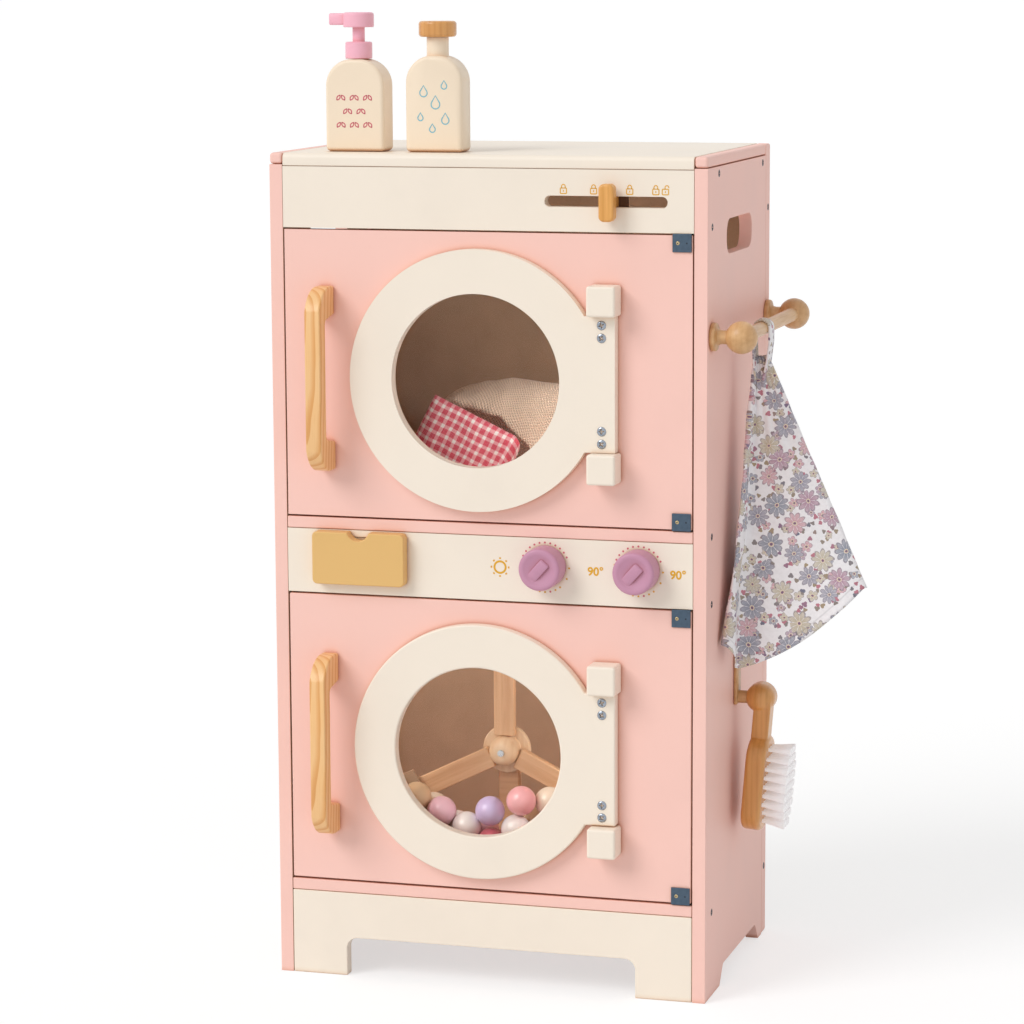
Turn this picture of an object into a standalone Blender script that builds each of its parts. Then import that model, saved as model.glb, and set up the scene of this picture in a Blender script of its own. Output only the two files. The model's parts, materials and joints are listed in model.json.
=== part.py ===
"""Toy washing machine and dryer tower, a wooden play set, modelled piece by piece.

Metres, +Z up. Places are given in cabinet coordinates: x from the left side, y from the front
edge towards the back, z from the floor. The cabinet frame empty moves them so that the origin
lies on the floor under the middle of the whole set.
"""

import bpy
import bmesh
from math import asin, atan2, cos, degrees, pi, radians, sin, sqrt
from mathutils import Matrix, Vector

# Clearances and edges
FIT = 0.0003
MERGE = 0.00001
OVERRUN = 0.004
EASE = 0.0010
STILE_EASE = 0.0015
CAP_EASE = 0.0020
DOOR_GAP = 0.0016
SIDE_GAP = 0.0012
RUN_GAP = 0.0005

# Cabinet
WIDTH = 0.400
DEPTH = 0.254
BOARD = 0.012
DECK = 0.0105
BACK = 0.005
STILE = 0.019
CAP = 0.010
TOP_BOARD = 0.0115
TOP_ROUND = 0.005
PLINTH = 0.0780
LOWER_DOOR = 0.2636
PANEL = 0.0580
UPPER_DOOR = 0.2568
FASCIA = 0.0542
BACK_INSET = 0.004

# Feet and hand holes
FRONT_FOOT = 0.052
FRONT_ARCH_HEIGHT = 0.0355
ARCH_ROUND = 0.010
SIDE_FOOT_FRONT = 0.058
SIDE_FOOT_REAR = 0.033
SIDE_ARCH_HEIGHT = 0.0170
SIDE_ARCH_SLOPE = 0.014
SIDE_ARCH_ROUND = 0.006
HAND_HOLE_LENGTH = 0.1025
HAND_HOLE_HEIGHT = 0.031
HAND_HOLE_BACK = 0.1247
HAND_HOLE_DROP = 0.0635
HAND_HOLE_ROUND_SHARE = 0.86

# Doors
PIVOT_INSET = 0.009
PIVOT_DEPTH = 0.004
PIN_RADIUS = 0.0015
PIN_REACH = 0.006
PLATE_WIDTH = 0.017
PLATE_HEIGHT = 0.014
PLATE_THICK = 0.0012
PLATE_LEG = 0.0010
PLATE_EDGE = 0.0008
RING_SHIFT = 0.0067
UPPER_RING_DROP = 0.0019
LOWER_RING_DROP = 0.0036
RING_RADIUS = 0.116
WINDOW_RADIUS = 0.077
RING_THICK = 0.0115
RING_EASE = 0.0014
PANE_OVERLAP = 0.008
PANE_THICK = 0.003
TAB_REACH = 0.1272
TAB_HEIGHT = 0.1194
BLOCK_WIDTH = 0.026
BLOCK_HEIGHT = 0.0268
BLOCK_PROUD = 0.024
BLOCK_LIP = 0.003
BLOCK_ROUND = 0.0022

# Door handles
HANDLE_INSET = 0.0390
HANDLE_WIDTH = 0.0146
HANDLE_LENGTH = 0.1645
HANDLE_PROUD = 0.040
HANDLE_BAR = 0.0157
HANDLE_GRIP = 0.1135
HANDLE_CURVE = 0.030
HANDLE_FLAT = 0.0115
HANDLE_CURVE_STEPS = 6
HANDLE_LEAN = 0.004
HANDLE_DROP = 0.0035
HANDLE_ROUND = 0.005
HANDLE_EDGE = 0.0018

# Slide lever
SLOT_LENGTH = 0.1103
SLOT_HEIGHT = 0.0098
SLOT_RISE = 0.0263
SLOT_FROM_RIGHT = 0.0908
SLOT_ROUND_SHARE = 0.49
LEVER_FROM_RIGHT = 0.0863
LEVER_WIDTH = 0.0135
LEVER_HEIGHT = 0.0327
LEVER_THICK = 0.013
LEVER_PROUD = 0.018
LEVER_ROUND = 0.0045
LEVER_EDGE = 0.0015
SHANK_WIDTH = 0.0085
KEEPER_WIDTH = 0.024
KEEPER_HEIGHT = 0.022
KEEPER_THICK = 0.005

# Knobs
KNOB_RADIUS = 0.0188
KNOB_DEPTH = 0.024
KNOB_ROUND = 0.0022
KNOB_RISE = 0.0332
KNOB_RIGHT_INSET = 0.0605
KNOB_SPACING = 0.0852
GRIP_WIDTH = 0.0086
GRIP_HEIGHT = 0.0055
GRIP_FRONT = 0.0108
GRIP_TAIL = 0.0172
GRIP_SLOPE = 0.0095
GRIP_ANGLE = 50
GRIP_EASE = 0.0008
SHAFT_RADIUS = 0.003
SHAFT_HEAD_RADIUS = 0.007
SHAFT_HEAD = 0.003
SHAFT_DEEP = 0.012

# Soap drawer
DRAWER_LEFT_INSET = 0.0274
DRAWER_WIDTH = 0.0865
DRAWER_HEIGHT = 0.0475
DRAWER_THICK = 0.0118
DRAWER_ROUND = 0.0045
DRAWER_EASE = 0.0012
DRAWER_TOP_GAP = 0.0006
NOTCH_WIDTH = 0.0200
NOTCH_DEPTH = 0.0075
NOTCH_STEPS = 10
BIN_SIDE_INSET = 0.0042
BIN_HEIGHT = 0.036
BIN_LENGTH = 0.100
BIN_WALL = 0.003
BIN_RISE = 0.0056

# Paddle wheel
HUB_SHIFT = 0.0075
HUB_RISE = 0.1127
BOSS_FRONT = 0.066
BOSS_RADIUS = 0.0136
BOSS_LENGTH = 0.0178
BOSS_ROUND = 0.0090
DISC_RADIUS = 0.0225
DISC_THICK = 0.006
ARM_LENGTH = 0.0995
ARM_WIDTH = 0.0195
ARM_THICK = 0.0078
ARM_ANGLES = (90, 206.5, 333.5)
AXLE_RADIUS = 0.0018
AXLE_HEAD_RADIUS = 0.0030
AXLE_HEAD = 0.0014
AXLE_GRIP = 0.007
POST_WIDTH = 0.0195
POST_THICK = 0.010
POST_ABOVE = 0.012

# Ball tray and balls
TRAY_FOOT = 0.0195
TRAY_WALL = 0.004
TRAY_FRONT = 0.0160
TRAY_LENGTH = 0.0570
TRAY_LIP = 0.011
TRAY_LIP_THICK = 0.003
TRAY_HALF_ANGLE = 66
TRAY_SEGMENTS = 22
SADDLE_WIDTH = 0.104
SADDLE_SPAN = 0.030
BALL_RADIUS = 0.0136
BALL_PITCH = 0.0257

# Towel rail and brush peg, on the right side
RAIL_RISE = 0.5940
RAIL_STANDOFF = 0.0265
RAIL_FRONT = 0.0165
RAIL_BACK_INSET = 0.0144
RAIL_BALL_RADIUS = 0.0143
RAIL_RADIUS = 0.0062
FLANGE_RADIUS = 0.0125
FLANGE_THICK = 0.0048
FLANGE_ROUND = 0.0015
POST_SEAT = 0.008
PEG_BACK = 0.1175
PEG_RISE = 0.2555
PEG_RADIUS = 0.0061
BATTEN_WIDTH = 0.017
BATTEN_THICK = 0.0030
BATTEN_LENGTH = 0.115

# Brush
KNOB_BALL_RADIUS = 0.0136
BRUSH_STANDOFF = 0.0236
BORE_DEPTH = 0.012
NECK_WIDTH = 0.018
NECK_THICK = 0.0156
NECK_LENGTH = 0.0385
NECK_SHIFT = 0.0035
NECK_EASE = 0.0012
EYE_RADIUS = 0.0136
EYE_THICK = 0.009
EYE_BACK = 0.0004
BLOCK_LENGTH = 0.088
BLOCK_BREADTH = 0.048
BLOCK_THICK = 0.0180
BLOCK_SHIFT = 0.0042
BLOCK_END_SHARE = 0.80
BRUSH_TILT = 4.8
BRUSH_EDGE = 0.0030
BRISTLE_ROWS = 25
BRISTLE_COLUMNS = 24
BRISTLE_LENGTH = 0.0212
BRISTLE_BACKING = 0.0012
BRISTLE_FIELD_LENGTH = 0.072
BRISTLE_FIELD_BREADTH = 0.040
BRISTLE_FLARE_SHARE = 0.20
BRISTLE_TIP_SHARE = 0.62
OVAL_BEND_SHARE = 0.4167

# Bottles
BOTTLE_FRONT = 0.027
BOTTLE_DEPTH = 0.029
BOTTLE_EDGE = 0.0028
BOTTLE_1_LEFT = 0.0439
BOTTLE_1_WIDTH = 0.0546
BOTTLE_1_HEIGHT = 0.0814
BOTTLE_2_LEFT = 0.1188
BOTTLE_2_WIDTH = 0.0522
BOTTLE_2_HEIGHT = 0.0846
SHOULDER_ROUND = 0.0225
FOOT_ROUND = 0.003
COLLAR_RADIUS = 0.0120
COLLAR_HEIGHT = 0.0148
STEM_RADIUS = 0.0055
STEM_HEIGHT = 0.0129
HEAD_RADIUS = 0.0137
HEAD_HEIGHT = 0.0131
HEAD_ROUND = 0.0022
SPOUT_REACH = 0.0268
SPOUT_WIDTH = 0.0085
SPOUT_HEIGHT = 0.0104
SPOUT_DROP = 0.0008
NECK_RADIUS = 0.0098
NECK_HEIGHT = 0.0159
LID_RADIUS = 0.0168
LID_HEIGHT = 0.0140
LID_ROUND = 0.0028

# Hanging towel: its folds run down rays from a point just under the rail
TOWEL_BACK = 0.1050
TOWEL_REACH = 0.1212
TOWEL_LENGTH = 0.303
TOWEL_START = 0.034
TOWEL_APEX_DROP = 0.006
TOWEL_APEX_SHIFT = 0.0055
TOWEL_SPREAD = 24
TOWEL_HALF_THICK = 0.28
TOWEL_WALL_GAP = 0.0005
TOWEL_DOWN_SHARES = (0.30, 0.65, 1.0)
BUNCH_START = 0.026
BUNCH_END = 0.046
BUNCH_SHARES = (0.42, 0.01, 0.50, 0.46)
BUNCH_STEPS = 10
LOOP_WIDTH = 0.011
LOOP_DROP = 0.0400
LOOP_THICK = 0.0020
LOOP_FOOT = 0.016

# Folds of the towel in order: angle across and angle back as shares of the spread, and length share
TOWEL_FOLD_SHARES = (
    (0.500, 0.333, 0.776),
    (0.750, 0.271, 0.785),
    (0.946, 0.133, 0.812),
    (0.996, 0.058, 0.825),
    (0.958, -0.017, 0.825),
    (0.708, -0.133, 0.868),
    (0.417, -0.208, 0.924),
    (0.146, -0.250, 0.970),
    (-0.067, -0.258, 1.000),
    (-0.071, -0.375, 0.980),
    (-0.071, -0.467, 0.957),
    (-0.110, -0.525, 0.937),
    (-0.146, -0.475, 0.924),
    (-0.150, -0.208, 0.865),
    (-0.150, 0.083, 0.809),
    (-0.142, 0.313, 0.776),
    (0.063, 0.479, 0.759),
    (0.333, 0.542, 0.752),
)

# Cloths in the upper compartment
GINGHAM_LEFT = 0.1120
GINGHAM_WIDTH = 0.136
GINGHAM_DEPTH = 0.048
GINGHAM_HEIGHT = 0.124
GINGHAM_FRONT = 0.020
GINGHAM_RIGHT_SHARE = 0.40
GINGHAM_LEAN_SHARE = 0.12
WAFFLE_LEFT = 0.1180
WAFFLE_WIDTH = 0.176
WAFFLE_DEPTH = 0.105
WAFFLE_HEIGHT = 0.128
WAFFLE_GAP = 0.006
WAFFLE_RIGHT_SHARE = 0.94
WAFFLE_LEAN_SHARE = 0.05

# Ball places: across, back and up from the lowest front ball, in ball pitches
BALL_PLACE_SHARES = (
    (0.000, 0.000, 0.000),
    (-0.845, 0.000, 0.530),
    (0.830, 0.000, 0.550),
    (-0.005, 0.000, 1.070),
    (-1.715, 0.000, 1.020),
    (-2.630, 0.000, 1.410),
    (1.080, 0.000, 1.515),
    (2.060, 0.000, 1.690),
    (-0.480, 0.865, 0.130),
    (0.500, 0.865, 0.130),
    (-1.370, 0.865, 0.540),
    (1.390, 0.865, 0.560),
    (-2.240, 0.865, 1.030),
    (2.210, 0.865, 1.110),
    (1.700, 0.000, 0.920),
)

# Round sections
ROUND_STEPS = 36
SMALL_STEPS = 20
ARC_STEP = 12
FILLET_STEP = 19

# Levels, from the floor up
FLOOR_TOP = PLINTH + FIT + DECK
LOWER_DOOR_Z = FLOOR_TOP + DOOR_GAP
LOWER_DOOR_TOP = LOWER_DOOR_Z + LOWER_DOOR
PANEL_Z = LOWER_DOOR_TOP + DOOR_GAP
PANEL_TOP = PANEL_Z + PANEL
UPPER_DECK_Z = PANEL_TOP + FIT
UPPER_DECK_TOP = UPPER_DECK_Z + DECK
UPPER_DOOR_Z = UPPER_DECK_TOP + DOOR_GAP
UPPER_DOOR_TOP = UPPER_DOOR_Z + UPPER_DOOR
FASCIA_Z = UPPER_DOOR_TOP + DOOR_GAP
FASCIA_TOP = FASCIA_Z + FASCIA
TOP_Z = FASCIA_TOP + FIT
HEIGHT = TOP_Z + TOP_BOARD
CAP_Z = HEIGHT - CAP
SIDE_TOP = CAP_Z - FIT

# Widths and depths
INNER_LEFT = BOARD
INNER_RIGHT = WIDTH - BOARD
SIDE_DEPTH = DEPTH - STILE - FIT
BACK_Y = DEPTH - BACK_INSET - BACK
DECK_BACK = BACK_Y - FIT
DOOR_LEFT = INNER_LEFT + SIDE_GAP
DOOR_RIGHT = INNER_RIGHT - SIDE_GAP
DOOR_MID = (DOOR_LEFT + DOOR_RIGHT) / 2
PIVOT_X = DOOR_RIGHT - PIVOT_INSET
RING_X = DOOR_MID - RING_SHIFT
BIN_BOTTOM = PANEL_TOP - DRAWER_TOP_GAP - DRAWER_HEIGHT + BIN_RISE
CONTROL_DECK_TOP = BIN_BOTTOM - FIT
RAIL_X = WIDTH + RAIL_STANDOFF
RAIL_BACK = DEPTH - RAIL_BACK_INSET
PEG_X = WIDTH + FIT + BATTEN_THICK
BRUSH_X = WIDTH + BRUSH_STANDOFF
HUB_X = DOOR_MID - HUB_SHIFT
HUB_Z = FLOOR_TOP + HUB_RISE
ARM_FRONT = BOSS_FRONT + BOSS_LENGTH - FIT - ARM_THICK
DISC_FRONT = BOSS_FRONT + BOSS_LENGTH
POST_FRONT = DISC_FRONT + DISC_THICK + FIT

# The cabinet frame's place under the middle of the set
SET_LEFT = 0
SET_RIGHT = WIDTH + TOWEL_REACH
SET_FRONT = -HANDLE_PROUD
SET_BACK = DEPTH
FRAME_PLACE = Vector((-(SET_LEFT + SET_RIGHT) / 2, -(SET_FRONT + SET_BACK) / 2, 0))

PAINTS = {
    "pink": ((0.93, 0.58, 0.54), 0.45, 0.0),
    "cream": ((0.93, 0.86, 0.74), 0.42, 0.0),
    "pine": ((0.78, 0.53, 0.28), 0.50, 0.0),
    "beech": ((0.72, 0.47, 0.24), 0.48, 0.0),
    "mustard": ((0.76, 0.50, 0.20), 0.45, 0.0),
    "mauve": ((0.60, 0.32, 0.46), 0.30, 0.0),
    "rose": ((0.85, 0.36, 0.50), 0.25, 0.0),
    "steel": ((0.30, 0.35, 0.40), 0.35, 0.9),
    "zinc": ((0.62, 0.63, 0.65), 0.30, 1.0),
    "clear": ((0.90, 0.92, 0.92), 0.05, 0.0),
    "hardboard": ((0.44, 0.31, 0.22), 0.70, 0.0),
    "nylon": ((0.93, 0.92, 0.93), 0.50, 0.0),
    "print": ((0.80, 0.76, 0.80), 0.85, 0.0),
    "gingham": ((0.74, 0.22, 0.28), 0.85, 0.0),
    "waffle": ((0.66, 0.53, 0.38), 0.90, 0.0),
    "balls": ((0.86, 0.62, 0.68), 0.35, 0.0),
}


def clear_scene():
    for item in list(bpy.data.objects):
        bpy.data.objects.remove(item, do_unlink=True)


def new_collection(name):
    group = bpy.data.collections.new(name)
    bpy.context.scene.collection.children.link(group)
    return group


def paint(name):
    """Return the Principled material of one finish, made on first use."""
    if name in bpy.data.materials:
        return bpy.data.materials[name]
    colour, rough, metal = PAINTS[name]
    material = bpy.data.materials.new(name)
    material.use_nodes = True
    shader = material.node_tree.nodes["Principled BSDF"]
    shader.inputs["Base Color"].default_value = (*colour, 1.0)
    shader.inputs["Roughness"].default_value = rough
    shader.inputs["Metallic"].default_value = metal
    return material


def empty(name, place, parent=None):
    """Add an empty at a place in cabinet coordinates; a moving body's empty is on its axis."""
    item = bpy.data.objects.new(name, None)
    PARTS.objects.link(item)
    item["cabinet_place"] = place
    if parent is None:
        item.location = place
    else:
        item.parent = parent
        item.location = Vector(place) - Vector(parent["cabinet_place"])
    return item


def add_object(name, mesh, place, finish, parent, smooth_angle=None):
    """Link a mesh as a piece, its origin at a place in cabinet coordinates."""
    item = bpy.data.objects.new(name, mesh)
    PARTS.objects.link(item)
    item.parent = parent
    item.location = Vector(place) - Vector(parent["cabinet_place"])
    mesh.materials.clear()
    mesh.materials.append(paint(finish))
    if smooth_angle is not None:
        shade_round(mesh, smooth_angle)
    return item


def shade_round(mesh, angle=35):
    mesh.shade_smooth()
    mesh.set_sharp_from_angle(angle=radians(angle))


def mesh_from(builder, name):
    """Make a mesh from a bmesh that the builder function fills."""
    work = bmesh.new()
    builder(work)
    bmesh.ops.recalc_face_normals(work, faces=work.faces)
    mesh = bpy.data.meshes.new(name)
    work.to_mesh(mesh)
    work.free()
    return mesh


def box_mesh(name, size):
    def fill(work):
        bmesh.ops.create_cube(work, size=1)
        bmesh.ops.scale(work, vec=size, verts=work.verts)
    return mesh_from(fill, name)


def cylinder_mesh(name, radius, length, axis="Z", steps=SMALL_STEPS):
    turn = {
        "X": Matrix.Rotation(pi / 2, 3, "Y"),
        "Y": Matrix.Rotation(pi / 2, 3, "X"),
        "Z": Matrix.Identity(3),
    }

    def fill(work):
        bmesh.ops.create_cone(
            work, cap_ends=True, segments=steps, radius1=radius, radius2=radius, depth=length)
        bmesh.ops.rotate(work, matrix=turn[axis], verts=work.verts)
    return mesh_from(fill, name)


def sphere_mesh(name, radius, steps=16, rings=10):
    def fill(work):
        bmesh.ops.create_uvsphere(work, u_segments=steps, v_segments=rings, radius=radius)
    return mesh_from(fill, name)


def turned_mesh(name, profile, axis="Z", steps=ROUND_STEPS):
    """Spin a profile of (radius, height) points, top to bottom on its outer side, round an axis."""
    mesh = bpy.data.meshes.new(name)
    points = [(radius, 0, height) for radius, height in profile]
    edges = [(i, i + 1) for i in range(len(points) - 1)]
    mesh.from_pydata(points, edges, [])
    blank = bpy.data.objects.new(name, mesh)
    CUTTERS.objects.link(blank)
    spin = blank.modifiers.new("spin", "SCREW")
    spin.steps = steps
    spin.render_steps = steps
    spin.use_merge_vertices = True
    spin.merge_threshold = MERGE
    solid = baked(blank)
    turn = {
        "X": Matrix.Rotation(pi / 2, 4, "Y"),
        "Y": Matrix.Rotation(pi / 2, 4, "X"),
        "Z": Matrix.Identity(4),
    }
    solid.transform(turn[axis])
    return solid


def baked(item):
    """Return the evaluated mesh of a working object in its own frame, and remove the object."""
    graph = bpy.context.evaluated_depsgraph_get()
    mesh = bpy.data.meshes.new_from_object(item.evaluated_get(graph))
    mesh.name = item.name
    mesh.transform(item.matrix_world)
    bpy.data.objects.remove(item, do_unlink=True)
    work = bmesh.new()
    work.from_mesh(mesh)
    bmesh.ops.remove_doubles(work, verts=work.verts, dist=MERGE)
    bmesh.ops.recalc_face_normals(work, faces=work.faces)
    work.to_mesh(mesh)
    work.free()
    return mesh


def arc(centre, radius, start, end, steps=None):
    """Points along an arc, angles in degrees."""
    count = steps or max(2, round(abs(end - start) / ARC_STEP))
    points = []
    for i in range(count + 1):
        angle = radians(start + (end - start) * i / count)
        points.append((centre[0] + radius * cos(angle), centre[1] + radius * sin(angle)))
    return points


def rounded(corners):
    """Outline through corners of (u, v, fillet radius), each fillet an arc tangent to both sides."""
    points = []
    count = len(corners)
    for i, (u, v, radius) in enumerate(corners):
        here = Vector((u, v))
        before = Vector(corners[i - 1][:2]) - here
        after = Vector(corners[(i + 1) % count][:2]) - here
        if radius == 0:
            points.append((u, v))
            continue
        half = before.angle(after) / 2
        reach = radius / abs(sin(half)) * cos(half)
        bisector = (before.normalized() + after.normalized()).normalized()
        centre = here + bisector * (radius / sin(half))
        first = here + before.normalized() * reach - centre
        last = here + after.normalized() * reach - centre
        start = atan2(first.y, first.x)
        sweep = (atan2(last.y, last.x) - start + pi) % (2 * pi) - pi
        steps = max(1, round(degrees(abs(sweep)) / FILLET_STEP))
        for k in range(steps + 1):
            angle = start + sweep * k / steps
            points.append((centre.x + radius * cos(angle), centre.y + radius * sin(angle)))
    return points


def rectangle(left, right, bottom, top, radius=0):
    corners = [(left, bottom, radius), (right, bottom, radius), (right, top, radius), (left, top, radius)]
    return rounded(corners)


def circle(centre, radius, steps=ROUND_STEPS):
    return arc(centre, radius, 0, 360, steps)[:-1]


def outline_mesh(name, loops, thickness, facing):
    """Fill flat loops, the later ones as holes, and give them a thickness centred on the plane."""
    curve = bpy.data.curves.new(name, "CURVE")
    curve.dimensions = "2D"
    curve.fill_mode = "BOTH"
    curve.extrude = thickness / 2
    for loop in loops:
        spline = curve.splines.new("POLY")
        spline.points.add(len(loop) - 1)
        for point, (u, v) in zip(spline.points, loop):
            point.co = (u, v, 0, 1)
        spline.use_cyclic_u = True
    flat = bpy.data.objects.new(name, curve)
    CUTTERS.objects.link(flat)
    mesh = baked(flat)
    stand = {
        "X": Matrix(((0, 0, 1, 0), (1, 0, 0, 0), (0, 1, 0, 0), (0, 0, 0, 1))),
        "Y": Matrix(((1, 0, 0, 0), (0, 0, -1, 0), (0, 1, 0, 0), (0, 0, 0, 1))),
        "Z": Matrix.Identity(4),
    }
    mesh.transform(stand[facing])
    return mesh


def ease_edges(item, width, segments=1, angle=40):
    bevel = item.modifiers.new("ease", "BEVEL")
    bevel.width = width
    bevel.segments = segments
    bevel.limit_method = "ANGLE"
    bevel.angle_limit = radians(angle)
    return item


def board(name, x, y, z, finish, parent, ease=EASE, segments=1):
    """A plain board between low and high places in x, y and z."""
    size = (x[1] - x[0], y[1] - y[0], z[1] - z[0])
    place = ((x[0] + x[1]) / 2, (y[0] + y[1]) / 2, (z[0] + z[1]) / 2)
    item = add_object(name, box_mesh(name, size), place, finish, parent)
    if ease:
        ease_edges(item, ease, segments)
    return item


def cutter(name, mesh, place, parent):
    """A hidden object that a Boolean takes away."""
    item = bpy.data.objects.new(name, mesh)
    CUTTERS.objects.link(item)
    item.parent = parent
    item.location = Vector(place) - Vector(parent["cabinet_place"])
    item.display_type = "WIRE"
    item.hide_render = True
    return item


def combine(item, tool, operation):
    change = item.modifiers.new(tool.name, "BOOLEAN")
    change.operation = operation
    change.object = tool
    change.solver = "EXACT"
    return item


def cut(item, tool):
    return combine(item, tool, "DIFFERENCE")


def join(item, tool):
    return combine(item, tool, "UNION")


def build_sides(frame):
    """Side boards with hand hole and foot arch, their caps, and the rear stiles."""
    hole_mid = SIDE_TOP - HAND_HOLE_DROP
    arch_end = DEPTH - SIDE_FOOT_REAR
    outline = rounded([
        (0, 0, 0),
        (SIDE_FOOT_FRONT, 0, 0),
        (SIDE_FOOT_FRONT + SIDE_ARCH_SLOPE, SIDE_ARCH_HEIGHT, SIDE_ARCH_ROUND),
        (arch_end - SIDE_ARCH_SLOPE, SIDE_ARCH_HEIGHT, SIDE_ARCH_ROUND),
        (arch_end, 0, 0),
        (SIDE_DEPTH, 0, 0),
        (SIDE_DEPTH, SIDE_TOP, 0),
        (0, SIDE_TOP, 0),
    ])
    half = HAND_HOLE_LENGTH / 2
    rise = HAND_HOLE_HEIGHT / 2
    hole = rectangle(HAND_HOLE_BACK - half, HAND_HOLE_BACK + half, hole_mid - rise, hole_mid + rise,
                     rise * HAND_HOLE_ROUND_SHARE)
    for side, mid in (("left", BOARD / 2), ("right", WIDTH - BOARD / 2)):
        mesh = outline_mesh(side + "_side", [outline, hole], BOARD, "X")
        ease_edges(add_object(side + "_side", mesh, (mid, 0, 0), "pink", frame), EASE)
        across = (mid - BOARD / 2, mid + BOARD / 2)
        board(side + "_cap", across, (0, SIDE_DEPTH), (CAP_Z, HEIGHT), "pink", frame, CAP_EASE)
        board(side + "_stile", across, (SIDE_DEPTH + FIT, DEPTH), (0, HEIGHT), "pink", frame, STILE_EASE)


def build_carcass(frame):
    """Boards between the sides: plinth, decks, control panel, fascia, top and back."""
    across = (INNER_LEFT + FIT, INNER_RIGHT - FIT)
    foot_left = INNER_LEFT + FRONT_FOOT
    foot_right = INNER_RIGHT - FRONT_FOOT
    plinth = rounded([
        (across[0], 0, 0),
        (foot_left, 0, 0),
        (foot_left, FRONT_ARCH_HEIGHT, ARCH_ROUND),
        (foot_right, FRONT_ARCH_HEIGHT, ARCH_ROUND),
        (foot_right, 0, 0),
        (across[1], 0, 0),
        (across[1], PLINTH, 0),
        (across[0], PLINTH, 0),
    ])
    mesh = outline_mesh("plinth", [plinth], BOARD, "Y")
    ease_edges(add_object("plinth", mesh, (0, BOARD / 2, 0), "cream", frame), EASE)

    floor = board("floor_deck", across, (0, DECK_BACK), (PLINTH + FIT, FLOOR_TOP), "pink", frame)
    upper = board("upper_deck", across, (0, DECK_BACK), (UPPER_DECK_Z, UPPER_DECK_TOP), "pink", frame)
    board("control_deck", across, (BOARD + FIT, DECK_BACK), (CONTROL_DECK_TOP - DECK, CONTROL_DECK_TOP),
          "hardboard", frame)
    board("back_panel", across, (BACK_Y, BACK_Y + BACK), (PLINTH, FASCIA_TOP), "hardboard", frame)
    top = board("top_board", across, (0, DEPTH), (TOP_Z, HEIGHT), "cream", frame, TOP_ROUND, 4)
    top.modifiers["ease"].limit_method = "WEIGHT"
    round_front_edge(top.data)

    slot_x = WIDTH - SLOT_FROM_RIGHT
    slot_z = FASCIA_Z + SLOT_RISE
    slot_half = SLOT_LENGTH / 2
    slot = rectangle(slot_x - slot_half, slot_x + slot_half, slot_z - SLOT_HEIGHT / 2,
                     slot_z + SLOT_HEIGHT / 2, SLOT_HEIGHT * SLOT_ROUND_SHARE)
    face = rectangle(across[0], across[1], FASCIA_Z, FASCIA_TOP)
    mesh = outline_mesh("fascia", [face, slot], BOARD, "Y")
    fascia = ease_edges(add_object("fascia", mesh, (0, BOARD / 2, 0), "cream", frame), EASE)

    panel_face = rectangle(across[0], across[1], PANEL_Z, PANEL_TOP)
    opening = rectangle(DRAWER_X - BIN_HALF - RUN_GAP, DRAWER_X + BIN_HALF + RUN_GAP,
                        BIN_BOTTOM - RUN_GAP, BIN_BOTTOM + BIN_HEIGHT + RUN_GAP)
    holes = [circle((x, KNOB_Z), SHAFT_RADIUS + FIT, SMALL_STEPS) for x in KNOB_PLACES]
    mesh = outline_mesh("control_panel", [panel_face, opening, *holes], BOARD, "Y")
    panel = ease_edges(add_object("control_panel", mesh, (0, BOARD / 2, 0), "cream", frame), EASE)

    drill_pin_hole(fascia, "fascia_pin_hole", FASCIA_Z, frame)
    drill_pin_hole(panel, "panel_pin_hole", PANEL_Z, frame)
    drill_pin_hole(upper, "upper_deck_pin_hole", UPPER_DECK_TOP, frame)
    drill_pin_hole(floor, "floor_deck_pin_hole", FLOOR_TOP, frame)


def round_front_edge(mesh):
    """Mark the top edge at the front for the bevel, so that only it is rounded."""
    weight = mesh.attributes.new("bevel_weight_edge", "FLOAT", "EDGE")
    for edge in mesh.edges:
        ends = [mesh.vertices[i].co for i in edge.vertices]
        at_front = all(end.y < 0 for end in ends)
        at_top = all(end.z > 0 for end in ends)
        weight.data[edge.index].value = 1.0 if at_front and at_top else 0.0


def drill_pin_hole(item, name, level, frame):
    """Hole for a door's pivot pin, from a board's edge."""
    deep = PIN_REACH + FIT
    mesh = cylinder_mesh(name, PIN_RADIUS + FIT, 2 * deep, "Z", 12)
    cut(item, cutter(name, mesh, (PIVOT_X, PIVOT_DEPTH, level), frame))


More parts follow.
